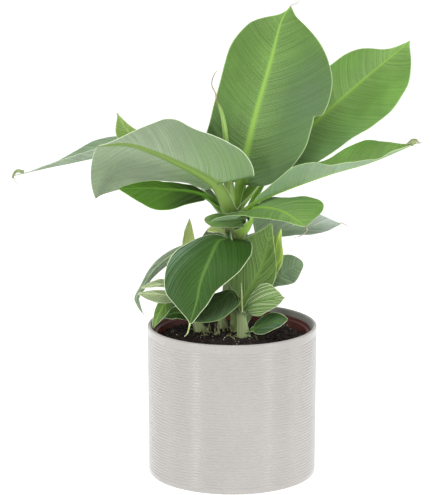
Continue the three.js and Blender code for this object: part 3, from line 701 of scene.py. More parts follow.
leaves = {
    "leaf_top": dict(
        tone="fresh", look="tall", layer=1, bare=18, stalk=[4, 5], ends=[0.35, 0.7], wave=[1.5, 2.5],
        spot=[0.5, -0.75, 0.22, 0.55], notch=["right", 0.42, 9, 0.08],
        rib=[[1, 17, 286], [9, 22, 327], [23, 30, 392], [43, 42, 463], [56, 54, 508], [65, 60, 521]],
        left=[53, 52, 64, 52, 48.5, 46.5, 48, 51.5, 51, 47, 1, 1],
        right=[70, 72, 78, 72.5, 80, 79, 66, 48, 30], rake=[[0, 18], [0, 18]],
        face=[[262, 10], [262, 20]], fold=[[12], [14]]),
    "leaf_upright": dict(
        tone="fresh", layer=2, bare=24, stalk=[6, 3.8], ends=[0.5, 0.75], neck=2, wave=[2, 2.5],
        spot=[0.12, -1, 0.35, 0.5],
        rib=[[2, 18, 282], [18, 31, 313], [60, 56, 356], [128, 78, 417], [201, 92, 477]],
        left=[26, 34, 42, 37, 42, 8, 12], right=[170, 78, 55, 54, 60, 59, 62, 50, 14],
        rake=[[0, 20], [-28, -2, 10, 20]], face=[[250, 35]], fold=[[10], [10]]),
    "leaf_right": dict(
        tone="fresh", layer=2, bare=18, stalk=[4.4, 3.2], ends=[0.5, 0.7], wave=[2, 3],
        rib=[[1, 15, 290], [26, 8, 309], [103, 4, 340], [155, 2, 356], [203, 0, 377]],
        left=[24, 24, 26, 26, 54, 26, 14], right=[20, 20, 30, 38, 12, 14, 7, 12, 6],
        face=[[90, 85], [90, 80]], fold=[[45, 32], [62, 15]]),
    "leaf_left": dict(
        tone="waxy", layer=3, bare=18, stalk=[8.5, 6], ends=[0.1, 0.3], neck=2, veins=[0.7, 0.3],
        wave=[0.8, 2.5], spot=[0.08, 0.4, 0.17, 0.7],
        rib=[[0, 12, 288], [-5, -1, 306], [-18, -4, 330], [-35, -5, 342], [-55, -7, 353],
             [-86, -9, 368], [-116, -15, 379], [-148, -22, 378]],
        left=[52, 57, 45, 40, 43, 26, 8, 2, 1], right=[16, 20, 26, 34, 41, 82, 98, 66, 14],
        rake=[[-39, 0, 5, 10, 10], [0, 0, -5, 10, 38]], face=[[90, 5], [90, 20]],
        fold=[[0, 50], [50, 0]]),
    "leaf_left_under": dict(
        tone="fresh", look="lush", layer=4, bare=24, stalk=[5, 3.4], ends=[0.4, 0.7], veins=[0.9, 0.3],
        wave=[0.8, 2], spot=[0.1, 0, 0.3, 2],
        rib=[[0, 15, 278], [-29, 0, 317], [-80, -8, 327], [-125, -12, 328]], left=[14, 20, 29, 17, 10],
        right=[10, 14, 12, 12, 10], face=[[270, 60], [270, 45]], fold=[[-10], [-10]]),
    "leaf_left_long": dict(
        tone="waxy", look="mist", layer=5, bare=18, stalk=[6, 3.6], ends=[0.4, 1.8], veins=[1.2, 0.4],
        wave=[1, 3],
        rib=[[0, 17, 278], [-47, 58, 330], [-127, 84, 347], [-194, 92, 335], [-251, 96, 321]],
        left=[20, 18, 16, 12, 9, 10, 4], right=[38, 38, 38, 34, 18, 18, 10], face=[[90, 88], [90, 70]],
        fold=[[60], [42]]),
    "leaf_left_rear": dict(
        tone="pale", layer=3, bare=20, stalk=[3, 3], ends=[0.5, 1], wave=[0.8, 2],
        rib=[[0, 17, 286], [-30, 38, 337], [-90, 56, 360], [-116, 66, 376], [-130, 72, 398]],
        left=[20, 26, 26, 32, 16], right=[14, 12, 12, 13, 8], face=[[270, 60]],
        fold=[[15], [15]]),
    "leaf_right_low": dict(
        tone="fresh", layer=5, bare=14, stalk=[7.5, 5.5], ends=[0.45, 0.45], neck=2, wave=[0.8, 2],
        spot=[0.4, 0.2, 0.3, 1],
        rib=[[8, 13, 262], [17, 7, 283], [22, 3, 301], [50, -20, 306], [80, -48, 294]],
        left=[30, 42, 28, 29, 40, 50, 46, 28, 14], right=[130, 80, 38, 32, 20, 10, 8],
        rake=[[0, 8, 15], [-42, -22, 0, 10, 20]], face=[[270, 75], [300, 60]], fold=[[5], [8, 5]]),
    "leaf_right_far": dict(
        tone="waxy", look="silver", layer=6, bare=16, stalk=[4, 3], ends=[0.5, 0.8], veins=[1.5, 0.5],
        wave=[1, 2], spot=[0.25, -0.3, 0.4, 1.2],
        rib=[[3, 18, 257], [27, 34, 265], [76, 35, 273], [122, 30, 279.5]], left=[70, 34, 22, 14, 10],
        right=[20, 16, 14, 20, 20], face=[[270, 60], [270, 50]], fold=[[20], [20]]),
    "leaf_left_short": dict(
        tone="deep", look="dusk", layer=6, bare=15, stalk=[2.4, 2.4], ends=[0.3, 0.5], veins=[1.5, 0.4],
        wave=[0.6, 2], dry=1.5,
        rib=[[1, 15, 272], [12, 2, 289.8], [-7, -10, 291.3], [-30.8, -22, 295.6]],
        left=[14, 10, 5.5, 10, 8], right=[20, 3, 8, 8, 6], rake=[[-20, 0, 10], [-20, 0, 10]],
        face=[[270, 20]], fold=[[10], [10]]),
    "leaf_front": dict(
        tone="deep", layer=7, bare=15, stalk=[4, 3], ends=[0.35, 0.8], veins=[1.5, 0.5], wave=[0.8, 3],
        spot=[0.36, -0.95, 0.32, 0.36],
        rib=[[3, 15, 258], [-3, -5, 268], [-15, -21, 270], [-25, -41, 255], [-35, -53, 232],
             [-39, -58, 212], [-47, -62, 187]], left=[70, 64, 49, 38, 27, 19, 15.5, 12, 20],
        right=[4, 8, 28, 37, 42, 42, 41, 30, 8],
        rake=[[-150, -84, -14, -3, 2, 7, 11, 16, 20], [-15, 20]], face=[[270, 50], [270, 20]],
        fold=[[-8], [-8]]),
    "leaf_left_arch": dict(
        tone="waxy", look="mist", layer=8, bare=14, stalk=[3, 2.5], ends=[0.5, 0.8], veins=[2, 0.5],
        wave=[0.5, 3],
        rib=[[3, 16, 250], [-28, 12, 258], [-55, 10, 254], [-75, 8, 243], [-89, 6, 230],
             [-100, 4, 213], [-107, 3, 200], [-105, 2, 192], [-101, 2, 183.5]],
        left=[4, 5, 5.5, 5, 3.2, 4, 6], right=[6, 7, 8, 7.5, 4.2, 5, 6], face=[[95, 20], [110, 15]],
        fold=[[14], [14]]),
    "leaf_yellow_bit": dict(
        tone="pale", look="glow", layer=6, bare=12, stalk=[2, 2], ends=[0.5, 0.8], veins=[2, 0.5],
        wave=[0.5, 2], rib=[[2, 15, 270], [-8, 6, 275], [-18, -4, 281], [-27, -14, 280]],
        left=[5, 5, 5], right=[5, 5, 5], face=[[270, 50]], fold=[[5], [5]]),
    "leaf_rear_high": dict(
        tone="fresh", layer=3, bare=28, stalk=[3, 3], ends=[0.45, 0.75], wave=[2, 2.5],
        rib=[[1, 17, 268], [16, 54, 337], [34, 110, 395], [35, 150, 446]], left=[34, 40, 30],
        right=[34, 40, 30], face=[[270, 30], [270, 20]], fold=[[12], [12]]),
    "leaf_rear_right": dict(
        tone="fresh", layer=4, bare=16, stalk=[3, 3], ends=[0.45, 0.75], wave=[2, 2.5],
        rib=[[2, 17, 266], [41, 70, 327], [79, 130, 368], [117, 170, 390]], left=[26, 32, 26],
        right=[26, 32, 26], face=[[240, 50]], fold=[[12], [12]]),
    "leaf_rear_low": dict(
        tone="deep", layer=7, bare=14, stalk=[3, 3], ends=[0.4, 0.8], wave=[1.5, 2],
        rib=[[3, 17, 260], [0, 48, 275], [-11, 92, 239], [-20, 120, 186]], left=[26, 34, 20],
        right=[26, 34, 20], face=[[90, 50], [90, 10]], fold=[[-8], [-8]]),
    "leaf_young_pale": dict(
        on="stem_front_shoot", tone="pale", look="young", layer=1, bare=13, stalk=[3, 3],
        ends=[0.8, 0.9], veins=[1.4, 0.5], wave=[0.8, 2],
        rib=[[10, -7, 180], [14, -5, 200], [34, 8, 237.5], [44, 10, 284.5]], left=[70, 44, 16],
        right=[63, 30, 15, 7, 7], rake=[[0, 10], [0, 10]], face=[[260, 20]],
        fold=[[15], [15]]),
    "leaf_young_thin": dict(
        on="stem_front_shoot", tone="pale", look="lime", layer=2, bare=12, stalk=[2, 2],
        ends=[0.7, 0.9], veins=[2, 0.5], wave=[0.8, 2],
        rib=[[15.5, 0, 192.7], [33.5, 8, 209.2], [44.7, 14, 238.9], [55.2, 13, 277.6]],
        left=[10, 12, 8], right=[26, 12, 13, 7, 2], face=[[250, 20]],
        fold=[[-15], [15]]),
    "leaf_round": dict(
        on="stem_front_shoot", tone="waxy", look="mist", layer=2, bare=12, stalk=[2, 2],
        ends=[0.4, 0.45], wave=[0.8, 2],
        rib=[[12, -8, 166], [36, 14, 205], [58, 16, 226], [79, 12, 239]], left=[30, 20, 19, 18, 8],
        right=[2, 4, 17, 21, 11], rake=[[0, 15], [0, 15]], face=[[290, 45]],
        fold=[[8], [8]]),
    "leaf_low_striped": dict(
        on="stem_front_shoot", tone="pale", look="striped", layer=3, bare=9, stalk=[2, 2],
        ends=[0.5, 0.6], veins=[3, 1], wave=[0.8, 2],
        rib=[[9, -5, 180], [16.5, -12, 193.4], [28.7, -20, 201.8], [41.9, -26, 206.1],
             [57.9, -30, 208.8]], left=[11, 16, 20, 19, 13.5, 9, 1],
        right=[30, 23, 22, 18, 14.5, 11, 4.5], rake=[[20, 20], [10, 20]], face=[[270, 40]],
        fold=[[10], [10]]),
    "leaf_at_soil": dict(
        on="stem_front_shoot", tone="fresh", look="deep", layer=4, bare=8, stalk=[2, 2],
        ends=[0.5, 0.7], veins=[1.6, 0.8], wave=[0.6, 2], spot=[0.6, -0.3, 0.45, 0.8],
        rib=[[12, -9, 162], [24, -16, 169], [42, -26, 179], [61, -36, 185]], left=[13, 13, 9],
        right=[14, 15, 9], face=[[270, 50]], fold=[[5], [5]]),
    "leaf_low_dark": dict(
        on="stem_front_shoot", tone="deep", look="dark", layer=4, bare=13, stalk=[2, 2],
        ends=[0.5, 0.8], veins=[1.2, 0.5], wave=[0.6, 2], spot=[0.5, 0.9, 0.5, 0.4],
        rib=[[11, -8, 176], [-0.2, -14, 211.2], [-11.4, -24, 204.5], [-28, -36, 194.9],
             [-45.7, -46, 186.1]], left=[40, 20, 17, 13, 10], right=[6, 14, 20, 14, 3],
        face=[[270, 45]], fold=[[-5], [-5]]),
    "leaf_edge": dict(
        on="stem_left_shoot", tone="deep", look="tall", layer=2, bare=14, stalk=[2, 1.6],
        ends=[0.5, 0.7], veins=[1.2, 0.5], wave=[0.6, 2],
        rib=[[-39, 20, 163], [-60, 13, 191], [-74, 2, 194], [-82, -6, 184], [-88, -9, 168]],
        left=[8, 7.5, 9.6, 6, 1.5], right=[12, 9, 6.6, 5.6, 7], face=[[270, 50], [240, 20]],
        fold=[[-5], [-5]]),
    "leaf_edge_rear": dict(
        on="stem_left_shoot", tone="deep", layer=3, bare=11, stalk=[1.6, 1.6], ends=[0.5, 0.8],
        wave=[0.5, 2], rib=[[-36, 20, 159], [-48, 27, 170], [-61, 30, 176], [-77, 28, 172]],
        left=[8, 8, 8], right=[8, 8, 8], face=[[270, 50]], fold=[[5], [5]]),
    "leaf_pale_upper": dict(
        on="stem_left_shoot", tone="pale", look="cream", layer=1, bare=10, stalk=[1.8, 1.6],
        ends=[0.5, 0.8], veins=[2, 0.5], wave=[0.5, 2],
        rib=[[-41, 19, 173], [-61, 2, 210], [-77, -10, 219], [-102, -18, 216.5]], left=[6, 3.5, 1.5],
        right=[8, 7, 4], face=[[270, 50]], fold=[[5], [5]]),
    "leaf_pale_lower": dict(
        on="stem_left_shoot", tone="pale", look="cream", layer=2, bare=11, stalk=[1.8, 1.6],
        ends=[0.5, 0.8], veins=[2, 0.5], wave=[0.5, 2],
        rib=[[-40, 19, 169], [-58, -8, 202], [-81, -20, 210], [-105, -24, 212]], left=[9, 16, 8],
        right=[6, 6, 3.5], face=[[270, 50]], fold=[[5], [5]]),
    "leaf_shoot_tip": dict(
        on="stem_rear_shoot", tone="pale", look="glow", layer=1, bare=8, stalk=[2.4, 2],
        ends=[0.7, 0.9], veins=[2, 0.5], wave=[0.5, 2],
        rib=[[-14, 29, 180], [-30, 34, 206], [-49, 34, 250], [-48, 30, 285]], left=[11, 11, 8],
        right=[9, 10, 8], face=[[300, 20]], fold=[[20], [20]]),
}


def axisAt(stem, height):
    # the point of a stem's axis at a height
    path = curveThrough(stem["axis"], 20)
    return np.stack([np.interp(height, path[:, 2], path[:, k]) for k in range(3)], -1)


def leafPath(leaf):
    # the sheet's middle line: up the stem's side, a cubic bend, then along the midrib's curve
    stem = stems[leaf.get("on", leafRule["stem"])]
    rib = curveThrough(leaf["rib"], leafRule["ribSteps"])
    ribLengths = lengths(rib)
    neckIndex = leaf.get("neck", 1) * leafRule["ribSteps"]
    rule = sheathRule
    join = min(leaf["bare"] + rule["joinLength"], ribLengths[neckIndex] * rule["joinShare"])
    free = along(rib, ribLengths, np.arange(join, ribLengths[-1], 1.0))
    free = np.vstack([free, rib[-1]])
    foot = along(rib, ribLengths, np.array([leaf["bare"]]))[0]
    axisTop = stem["axis"][-1][2]
    soilTop = coverPot["height"] - soilBed["depth"]
    startHeight = max(min(foot[2] - rule["drop"], axisTop) - rule["reach"], soilTop)
    bendHeight = min(foot[2] - rule["bendDrop"], axisTop) - rule["bendSpare"]
    heights = np.linspace(startHeight, max(bendHeight, startHeight + rule["shortest"]), rule["rows"])
    axis = axisAt(stem, heights)
    axis[:, 2] = heights
    out = (free[0] - axis[-1]) * [1, 1, 0]
    if np.linalg.norm(out) < 1:
        out = (rib[neckIndex] - axis[-1]) * [1, 1, 0]
    out = unit(out)
    share = (heights - heights[0]) / (heights[-1] - heights[0])
    core = np.interp(heights, [stem["axis"][0][2], axisTop], stem["radius"])
    radius = core + leaf["layer"] * (rule["layerStep"] - rule["layerLoss"] * share) + rule["clear"]
    lower = axis + out * radius[:, None]
    ahead = unit(free[1] - free[0])
    gap = np.linalg.norm(free[0] - lower[-1])
    t = np.linspace(0, 1, rule["bendRows"])[1:-1, None]
    rise = unit(lower[-1] - lower[-2]) * gap
    bend = ((2 * t ** 3 - 3 * t ** 2 + 1) * lower[-1] + (t ** 3 - 2 * t ** 2 + t) * rise
            + (3 * t ** 2 - 2 * t ** 3) * free[0] + (t ** 3 - t ** 2) * ahead * gap)
    path = np.vstack([lower, bend, free])
    pathLengths = lengths(path)
    sheathEnd = pathLengths[len(lower) - 1]
    neckLength = pathLengths[-1] - (ribLengths[-1] - ribLengths[neckIndex])
    return path, pathLengths, sheathEnd, neckLength, out, radius


def steps(values, q):
    # straight stretches between values set evenly from q = 0 to q = 1
    return np.interp(q, np.linspace(0, 1, len(values)), values)


def rowsOf(neckLength, total):
    # the lengths at which rows of points stand, closer together by neck and tip, and how far each
    # is from neck to tip
    bladeLength = total - neckLength
    big = bladeLength > leafRule["bigBlade"]
    stalkRows = int(neckLength / leafRule["stalkStep"])
    bladeRows = int(bladeLength / leafRule["rowStep" if big else "smallRowStep"])
    t = np.linspace(0, 1, bladeRows + 1)[1:]
    t = 0.7 * t + 0.3 * (1 - np.cos(np.pi * t)) / 2
    s = np.concatenate([np.linspace(0, neckLength, stalkRows + 1), neckLength + bladeLength * t])
    return s, np.clip((s - neckLength) / bladeLength, 0, 1)


def leafSpine(leaf):
    # what the rows of points stand on: the middle line, its directions, the midrib's half width and
    # the sheath. The upper side looks out from the stem at first, and turns to the leaf's face as
    # the stalk rises.
    path, pathLengths, sheathEnd, neckLength, out, radius = leafPath(leaf)
    s, q = rowsOf(neckLength, pathLengths[-1])
    centre = along(path, pathLengths, s)
    ahead = unit(np.gradient(centre, axis=0))
    stalkShare = np.clip((s - sheathEnd) / max(neckLength - sheathEnd, 1), 0, 1)
    faces = np.array([bearing(*f) for f in leaf["face"]])
    faceHere = np.stack([steps(faces[:, k], q) for k in range(3)], -1)
    turn = ease(stalkShare * 1.15)[:, None]
    up = -out * (1 - turn) + faceHere * turn
    up = up + np.array([0, 0, leafRule["upPull"]]) * turn * (1 - turn)
    up = unit(up - (up * ahead).sum(1, keepdims=True) * ahead)
    foot, neck = leaf["stalk"]
    onBlade = neck + (leafRule["tipHalfWidth"] - neck) * np.sqrt(q)
    radius = np.interp(s, np.linspace(0, sheathEnd, len(radius)), radius)
    heightShare = np.clip(s / max(sheathEnd, 1), 0, 1)
    return dict(s=s, q=q, centre=centre, ahead=ahead, up=up, side=np.cross(up, ahead),
                big=pathLengths[-1] - neckLength > leafRule["bigBlade"],
                ribRadius=np.where(q <= 0, foot + (neck - foot) * stalkShare, onBlade),
                sheathShare=1 - ease(stalkShare * sheathRule["fade"]), sheathRadius=radius,
                wrap=radius * (sheathRule["wrap"] - sheathRule["wrapLoss"] * heightShare))


def halfSheet(leaf, sign, spine):
    # one half of the sheet: how far each column stands out, up and ahead of the middle line. The
    # slope across grows from the rib to the fold's angle, wraps round the stem in the sheath, and
    # swings at the margin; the place is the running sum of its cosine and sine.
    rule = leafRule
    q, ribRadius, sheathShare = spine["q"], spine["ribRadius"], spine["sheathShare"]
    which = 0 if sign > 0 else 1
    sideName = ("left", "right")[which]
    folds, rake = leaf["fold"][which], leaf.get("rake", rule["rake"])[which]
    power = leaf["ends"][0] + (leaf["ends"][1] - leaf["ends"][0]) * q
    blade = np.maximum(0, controlCurve(leaf[sideName], q)) * np.sin(np.pi * np.clip(q, 0, 1)) ** power
    if "notch" in leaf and leaf["notch"][0] == sideName:
        _, place, depth, reach = leaf["notch"]
        before = place - q
        torn = np.exp(-np.maximum(before, 0) / reach) * ease(before / rule["tearWidth"] + 0.5)
        blade = blade - depth * torn
    blade = np.where(q > 0, np.maximum(blade, 0), 0)
    wing = rule["wing"] * (1 - ease(q * 6))
    width = ribRadius + np.sqrt(blade ** 2 + wing ** 2) + spine["wrap"] * sheathShare
    inRib = np.linspace(0, 1, rule["ribColumns"] + 1)
    columns = rule["columns" if spine["big"] else "smallColumns"]
    onBlade = 1 - (1 - np.linspace(0, 1, columns + 1)[1:]) ** rule["crowding"]
    x = np.concatenate([
        ribRadius[:, None] * inRib[None],
        ribRadius[:, None] + (width - ribRadius)[:, None] * onBlade[None]], 1)
    share = np.clip((x - ribRadius[:, None]) / np.maximum(width - ribRadius, 0.1)[:, None], 0, 1)
    fold = np.radians(steps(folds, q))
    risen = ease(q * rule["foldRise"])
    stalkFold = math.radians(rule["stalkFold"]) * (1 - risen) * (1 - sheathShare)
    across = ease((x - 0.5 * ribRadius[:, None]) / rule["foldReach"])
    slope = (fold * risen + stalkFold)[:, None] * across
    slope = slope + x / spine["sheathRadius"][:, None] * sheathShare[:, None]
    amount, cycles = leaf["wave"]
    rng = np.random.default_rng(int(abs(leaf["rib"][-1][0]) * 7 + abs(leaf["rib"][-1][2]) + sign + 1))
    phase = rng.uniform(0, 2 * np.pi, 2)
    turns = 2 * np.pi * cycles * q
    swing = np.sin(turns + phase[0]) + 0.5 * np.sin(turns * 2.3 + phase[1])
    reach = np.maximum(width - ribRadius, 1)
    slope = slope + (swing * amount / reach * ease(q * 5) * 1.6)[:, None] * share ** 1.5
    step = np.diff(x, axis=1, prepend=0)
    middle = (slope + np.roll(slope, 1, 1)) / 2
    middle[:, 0] = 0
    outward = np.cumsum(np.cos(middle) * step, 1)
    upward = np.cumsum(np.sin(middle) * step, 1)
    lean = np.radians(steps(rake, q)) * (q > 0)
    return dict(x=x, share=share, width=width, slope=slope, outward=outward, upward=upward, lean=lean)


def layHalf(leaf, sign, spine):
    # one half of the sheet in its place: points, and what the finish reads, above and then below.
    # The sheet is thin, with the midrib's half round below it, the stalk's channel above it, and
    # pleats as high as the side veins make them.
    rule = leafRule
    half = halfSheet(leaf, sign, spine)
    x, share, slope = half["x"], half["share"], half["slope"]
    width, lean = half["width"][:, None], half["lean"][:, None]
    s, q, ribRadius, sheathShare, side, ahead, up = (
        spine[key][:, None] for key in ("s", "q", "ribRadius", "sheathShare", "side", "ahead", "up"))
    middle = (spine["centre"][:, None] + side * (sign * np.cos(lean) * half["outward"])[..., None]
              + ahead * (np.sin(lean) * half["outward"])[..., None] + up * half["upward"][..., None])
    normal = up * np.cos(slope)[..., None] - side * (sign * np.sin(slope))[..., None]
    veinLean, veinBend = leaf.get("veins", rule["veins"])
    veinLine = (s - width * share * (veinLean + veinBend * share)) / math.hypot(1, veinLean)
    ripple = sum(np.sin(2 * np.pi * veinLine / wave + k * sign * 1.7) * wave * weight
                 for k, (wave, weight) in enumerate(rule["pleats"]))
    window = ease(share * 7) * (1 - 0.6 * ease((share - 0.6) * 2.5)) * ease(q * 6) * ease((1 - q) * 6)
    pleat = ripple * rule["pleatSlope"] / (2 * np.pi) * window
    inRib = x / ribRadius
    ribArc = np.sqrt(np.clip(1 - inRib ** 2, 0, 1))
    channel = np.clip(1 - (inRib / 1.05) ** 2, 0, 1) ** 1.5
    thin = rule["thickness"] * (1 if spine["big"] else rule["thinShare"])
    thin = thin * (1 - rule["edgeThin"] * share ** 4)
    stalky = (1 - ease(q * 5)) * (1 - sheathShare)
    depth = ribRadius * rule["ribDepth"] * (1 - 0.45 * sheathShare)
    groove = ribRadius * rule["groove"] * (0.5 + stalky * 0.6) * (1 - sheathShare)
    upper = thin / 2 - groove * channel + pleat
    lower = np.maximum(thin / 2 + depth * ribArc - pleat, 0.2 - upper)
    # the patch round the spot where the look's shade colour is painted, as listed above the leaves
    place, across, reach, reachAcross = leaf.get("spot", rule["spot"])
    fromSpot = ((q - place) / reach) ** 2 + ((sign * share - across) / reachAcross) ** 2
    toTip = np.linalg.norm(middle - spine["centre"][-1], axis=-1)
    everywhere = np.ones_like(x)
    both = dict(
        veinLine=veinLine * mm, acrossLine=sign * x * mm,
        neckShadeShare=everywhere * (1 - ease(q * 1.7)), sheathShare=everywhere * sheathShare,
        shootShare=everywhere * (leaf.get("on", rule["stem"]) != rule["stem"]),
        edgeShare=ease((rule["edgeWidth"] - (width - x)) / rule["edgeFade"]) * (share > 0),
        shadeSpotShare=np.exp(-fromSpot),
        dryShare=ease((leaf.get("dry", rule["dry"]) + 1 - toTip) / 2))
    stalkColour = (1 - ease(q * 14)) * ease(2.5 - inRib)
    above, below = (np.maximum(ease((end - inRib) * rise) * (q < 0.99), stalkColour)
                    for end, rise in rule["ribEdges"])
    return (dict(both, points=middle + normal * upper[..., None], ribShare=above),
            dict(both, points=middle - normal * lower[..., None], ribShare=below))


def growLeaf(name, leaf):
    # each row of points is a ring: the upper side from left to right, then the under side back
    spine = leafSpine(leaf)
    left, right = (layHalf(leaf, sign, spine) for sign in (1, -1))
    fields = {}
    for key in left[0]:
        above, below = (np.concatenate([left[k][key][:, :0:-1], right[k][key]], 1) for k in (0, 1))
        fields[key] = np.concatenate([above, below[:, ::-1]], 1)
    rings = fields.pop("points")
    rows, count = rings.shape[:2]
    quads = skinRings(rows, count)
    which = np.where(quads[:, 0] % count < count // 2, 0, 1)
    which[(rows - 1) * count:] = 0
    stored = {key: field.ravel() for key, field in fields.items()}
    finishes = leafFinishes[leaf.get("look", leaf["tone"])]
    return makePiece(name + "_grown", rings.reshape(-1, 3), [quads], finishes, name,
                     stored, which, sharp=75)


for leafName, leaf in leaves.items():
    growLeaf(leafName, leaf)
print("leaves grown")

# Stem cores: what the sheaths wrap


def stemFinish():
    return patchedFinish("paleStem", 60.0, (120, 142, 82), (168, 184, 124), {"Roughness": 0.45})[0]


def makeStem(name, stem, finish):
    # a round tapering limb along the axis, whose top rounds off as a quarter circle
    path = curveThrough(stem["axis"], 12)
    share = np.linspace(0, 1, len(path))
    radii = stem["radius"][0] + (stem["radius"][1] - stem["radius"][0]) * share
    radii = radii * np.sqrt(np.clip(1 - np.clip((share - 0.93) / 0.075, 0, 1) ** 2, 0.01, 1))
    points, quads = tube(path, radii, 24)
    return makePiece(name + "_core", points, [quads], [finish], name)


stemLook = stemFinish()
for stemName, stem in stems.items():
    makeStem(stemName, stem, stemLook)

# The youngest leaf, still rolled up. lip: height of the roll's free edge. start, turns: where that
# edge is at the foot and how far it turns, in radians. tipFrom: where the dry tip begins.
spear = dict(rib=[[-2, 17, 288], [-5, 17, 340], [-10, 12, 401], [-18, 8, 427]],
             radius=[7.5, 7, 3.4, 2.8, 0.7], lip=0.5, rows=120, sides=36, start=1.2, turns=2.0,
             tipFrom=0.9)


def makeSpear():
    # a rolled leaf: each ring is a spiral of one turn that ends in a small step, and the step's
    # place turns slowly up the leaf
    path = curveThrough(spear["rib"])
    pathLengths = lengths(path)
    s = np.linspace(0, pathLengths[-1], spear["rows"])
    q = s / pathLengths[-1]
    sides = spear["sides"]
    angle = 2 * np.pi * np.arange(sides) / sides
    step = ((angle[None] + spear["start"] + spear["turns"] * q[:, None]) % (2 * np.pi)) / (2 * np.pi)
    inTip = q[:, None] - spear["tipFrom"]
    radius = controlCurve(spear["radius"], q)[:, None] * (1 - ease(inTip * 10) * 0.6)
    radius = radius + spear["lip"] * (step - 0.5)
    points, quads = tube(along(path, pathLengths, s), radius, sides, (0, 1, 0))
    absent = ("ribShare", "neckShadeShare", "sheathShare", "shootShare", "acrossLine", "shadeSpotShare")
    values = {key: np.zeros(len(points)) for key in absent}
    values["veinLine"] = (radius * angle[None] * mm).ravel()
    values["edgeShare"] = (step > 0.93).astype(float).ravel() * 0.6
    values["dryShare"] = np.repeat(ease((q - spear["tipFrom"]) / 0.08), sides)
    return makePiece("leaf_spear_rolled_grown", points, [quads], [leafFinishes["pale"][0]],
                     "leaf_spear_rolled", values)


makeSpear()
print("stems made")

# Dry threads that hang on the leaf tips, pale tips, and tips that curl up: a path, and radii at even
# steps from its start to its end
threads = [
    dict(path=[[64.5, 60, 520.5], [67, 60, 523], [71, 59, 524], [74.5, 58, 527]], radius=[0.45, 0.2]),
    dict(path=[[-18, 8, 426], [-18.5, 8, 431], [-22.9, 8, 442], [-20.2, 8, 452], [-17, 8, 457]],
         radius=[1.0, 0.3]),
    dict(path=[[203, 0, 376.5], [207, 0, 376.8], [210.5, 0, 374.5]], radius=[0.4, 0.15]),
    dict(path=[[121, 6, 286], [126, 5, 284], [131, 5, 280]], radius=[0.5, 0.2]),
    dict(path=[[-250, 96, 320], [-248, 95, 315], [-242, 94, 310]], radius=[0.4, 0.15]),
    dict(path=[[-101, 2, 184.5], [-99, 2, 181], [-97, 2, 179.5]], radius=[0.4, 0.15]),
    dict(path=[[-107, 3, 200], [-112, 2, 197], [-117, 1, 193]], radius=[0.35, 0.15]),
    dict(path=[[79, -48, 294.5], [82, -49, 291], [79, -49, 286], [72, -48, 282], [67, -47, 281]],
         radius=[0.7, 0.3]),
]
paleTips = [
    dict(path=[[-46.5, -62.3, 188], [-47.6, -63, 183], [-49.5, -62, 176], [-52.8, -60, 172]],
         radius=[1.1, 0.5]),
    dict(path=[[11.5, -12, 187.6], [10.9, -13, 198.3], [10.7, -13, 210.9], [10.1, -13, 221.2]],
         radius=[1.1, 0.3]),
]
curledTips = [
    dict(path=[[190.9, 0, 374], [195.3, 0, 377.1], [199.1, 0, 379.1], [203, 0, 379.6],
               [205.9, 0, 378.2], [209.1, 0, 378]],
         radius=[0.8, 1.7, 2.9, 2.4, 0.5, 0.35]),
    dict(path=[[200.1, -1, 379.2], [199.2, -1, 376.2], [198.5, -1, 374.2]], radius=[1.8, 1.7, 1.0]),
    dict(path=[[-238, 96, 325], [-246, 96, 326.5], [-250, 96, 322], [-251, 96, 318]],
         radius=[2.2, 0.8]),
]


def makeThreads(name, rows, finish):
    # round tubes whose rings follow a smooth curve through each row's points
    shapes = []
    for entry in rows:
        path = curveThrough(entry["path"], 8)
        radii = steps(entry["radius"], np.linspace(0, 1, len(path)))
        shapes.append(tube(path, radii, 8))
    points, quads = joinShapes(shapes)
    return makePiece(name, points, [quads], [finish])


makeThreads("tip_threads", threads, soilFinish("dryThread", (132, 118, 92), (176, 166, 134), 0.6))
makeThreads("pale_tips", paleTips, soilFinish("paleTip", (176, 196, 120), (214, 224, 172), 0.5))
makeThreads("curled_tips", curledTips, soilFinish("yellowedTip", (112, 124, 78), (140, 152, 100), 0.5))
print("threads made")

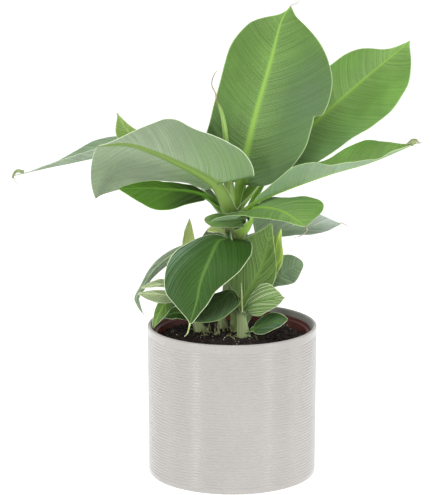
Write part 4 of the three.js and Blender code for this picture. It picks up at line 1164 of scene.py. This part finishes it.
# Studio: pale floor, soft lights, and a camera that looks down a little. Lights: place and size in
# metres, and power in watts.
studio = dict(target=[-16.4, 0, 258.8], distance=3000, pitch=13, focalPixels=2690, imageHeight=495,
              aim=[0, 0, 0.25], skyStrength=0.55, floorSize=30, floorGlow=0.5)
lights = {
    "left_strip": ((-1.25, -1.05, 0.55), (0.16, 1.3), 9),
    "right_strip": ((1.25, -1.05, 0.55), (0.16, 1.3), 7.5),
    "key_light": ((-0.1, -1.5, 1.9), (1.0, 1.0), 18.5),
    "left_fill": ((-1.8, 0.1, 0.5), (0.6, 1.2), 4),
    "right_fill": ((1.8, 0.1, 0.5), (0.6, 1.2), 6),
}


def paleFloor():
    glow = {"Emission Color": (1, 1, 1, 1), "Emission Strength": studio["floorGlow"]}
    finish, nodes, shader = newFinish("paleFloor", {"Roughness": 0.8, **glow})
    place = nodes.add("ShaderNodeTexCoord").outputs["Object"]
    cloud = nodes.add("ShaderNodeTexNoise", {"Vector": place, "Scale": 3.0})
    base = nodes.blend(cloud.outputs[0], colour(250, 250, 250), colour(253, 253, 253))
    nodes.link(base, shader["Base Color"])
    bpy.ops.mesh.primitive_plane_add(size=studio["floorSize"])
    floor = bpy.context.object
    floor.name = "studio_floor"
    floor.data.materials.append(finish)


def addLight(name, place, size, power):
    # a rectangle of light at its place that looks at the aim
    data = bpy.data.lights.new(name, "AREA")
    data.shape = "RECTANGLE"
    data.size, data.size_y = size
    data.energy = power
    light = bpy.data.objects.new(name, data)
    bpy.context.scene.collection.objects.link(light)
    toward = np.array(place) - np.array(studio["aim"])
    light.location = place
    light.rotation_mode = "QUATERNION"
    light.rotation_quaternion = Vector(toward).to_track_quat("Z", "Y")


def makeStudio():
    paleFloor()
    world = bpy.data.worlds.new("softWhite")
    bpy.context.scene.world = world
    world.use_nodes = True
    sky = world.node_tree.nodes["Background"].inputs
    sky["Color"].default_value = (1, 1, 1, 1)
    sky["Strength"].default_value = studio["skyStrength"]
    bpy.context.scene.view_settings.view_transform = "Standard"
    for name, row in lights.items():
        addLight(name, *row)
    camera = bpy.data.objects.new("photo_camera", bpy.data.cameras.new("photo_camera"))
    bpy.context.scene.collection.objects.link(camera)
    pitch = math.radians(studio["pitch"])
    back = np.array([0, -math.cos(pitch), math.sin(pitch)])
    camera.location = (np.array(studio["target"]) + back * studio["distance"]) * mm
    camera.rotation_euler = (math.pi / 2 - pitch, 0, 0)
    camera.data.sensor_width = 36
    camera.data.lens = camera.data.sensor_width * studio["focalPixels"] / studio["imageHeight"]
    camera.data.clip_end = 50
    bpy.context.scene.camera = camera


makeStudio()
print("studio made")
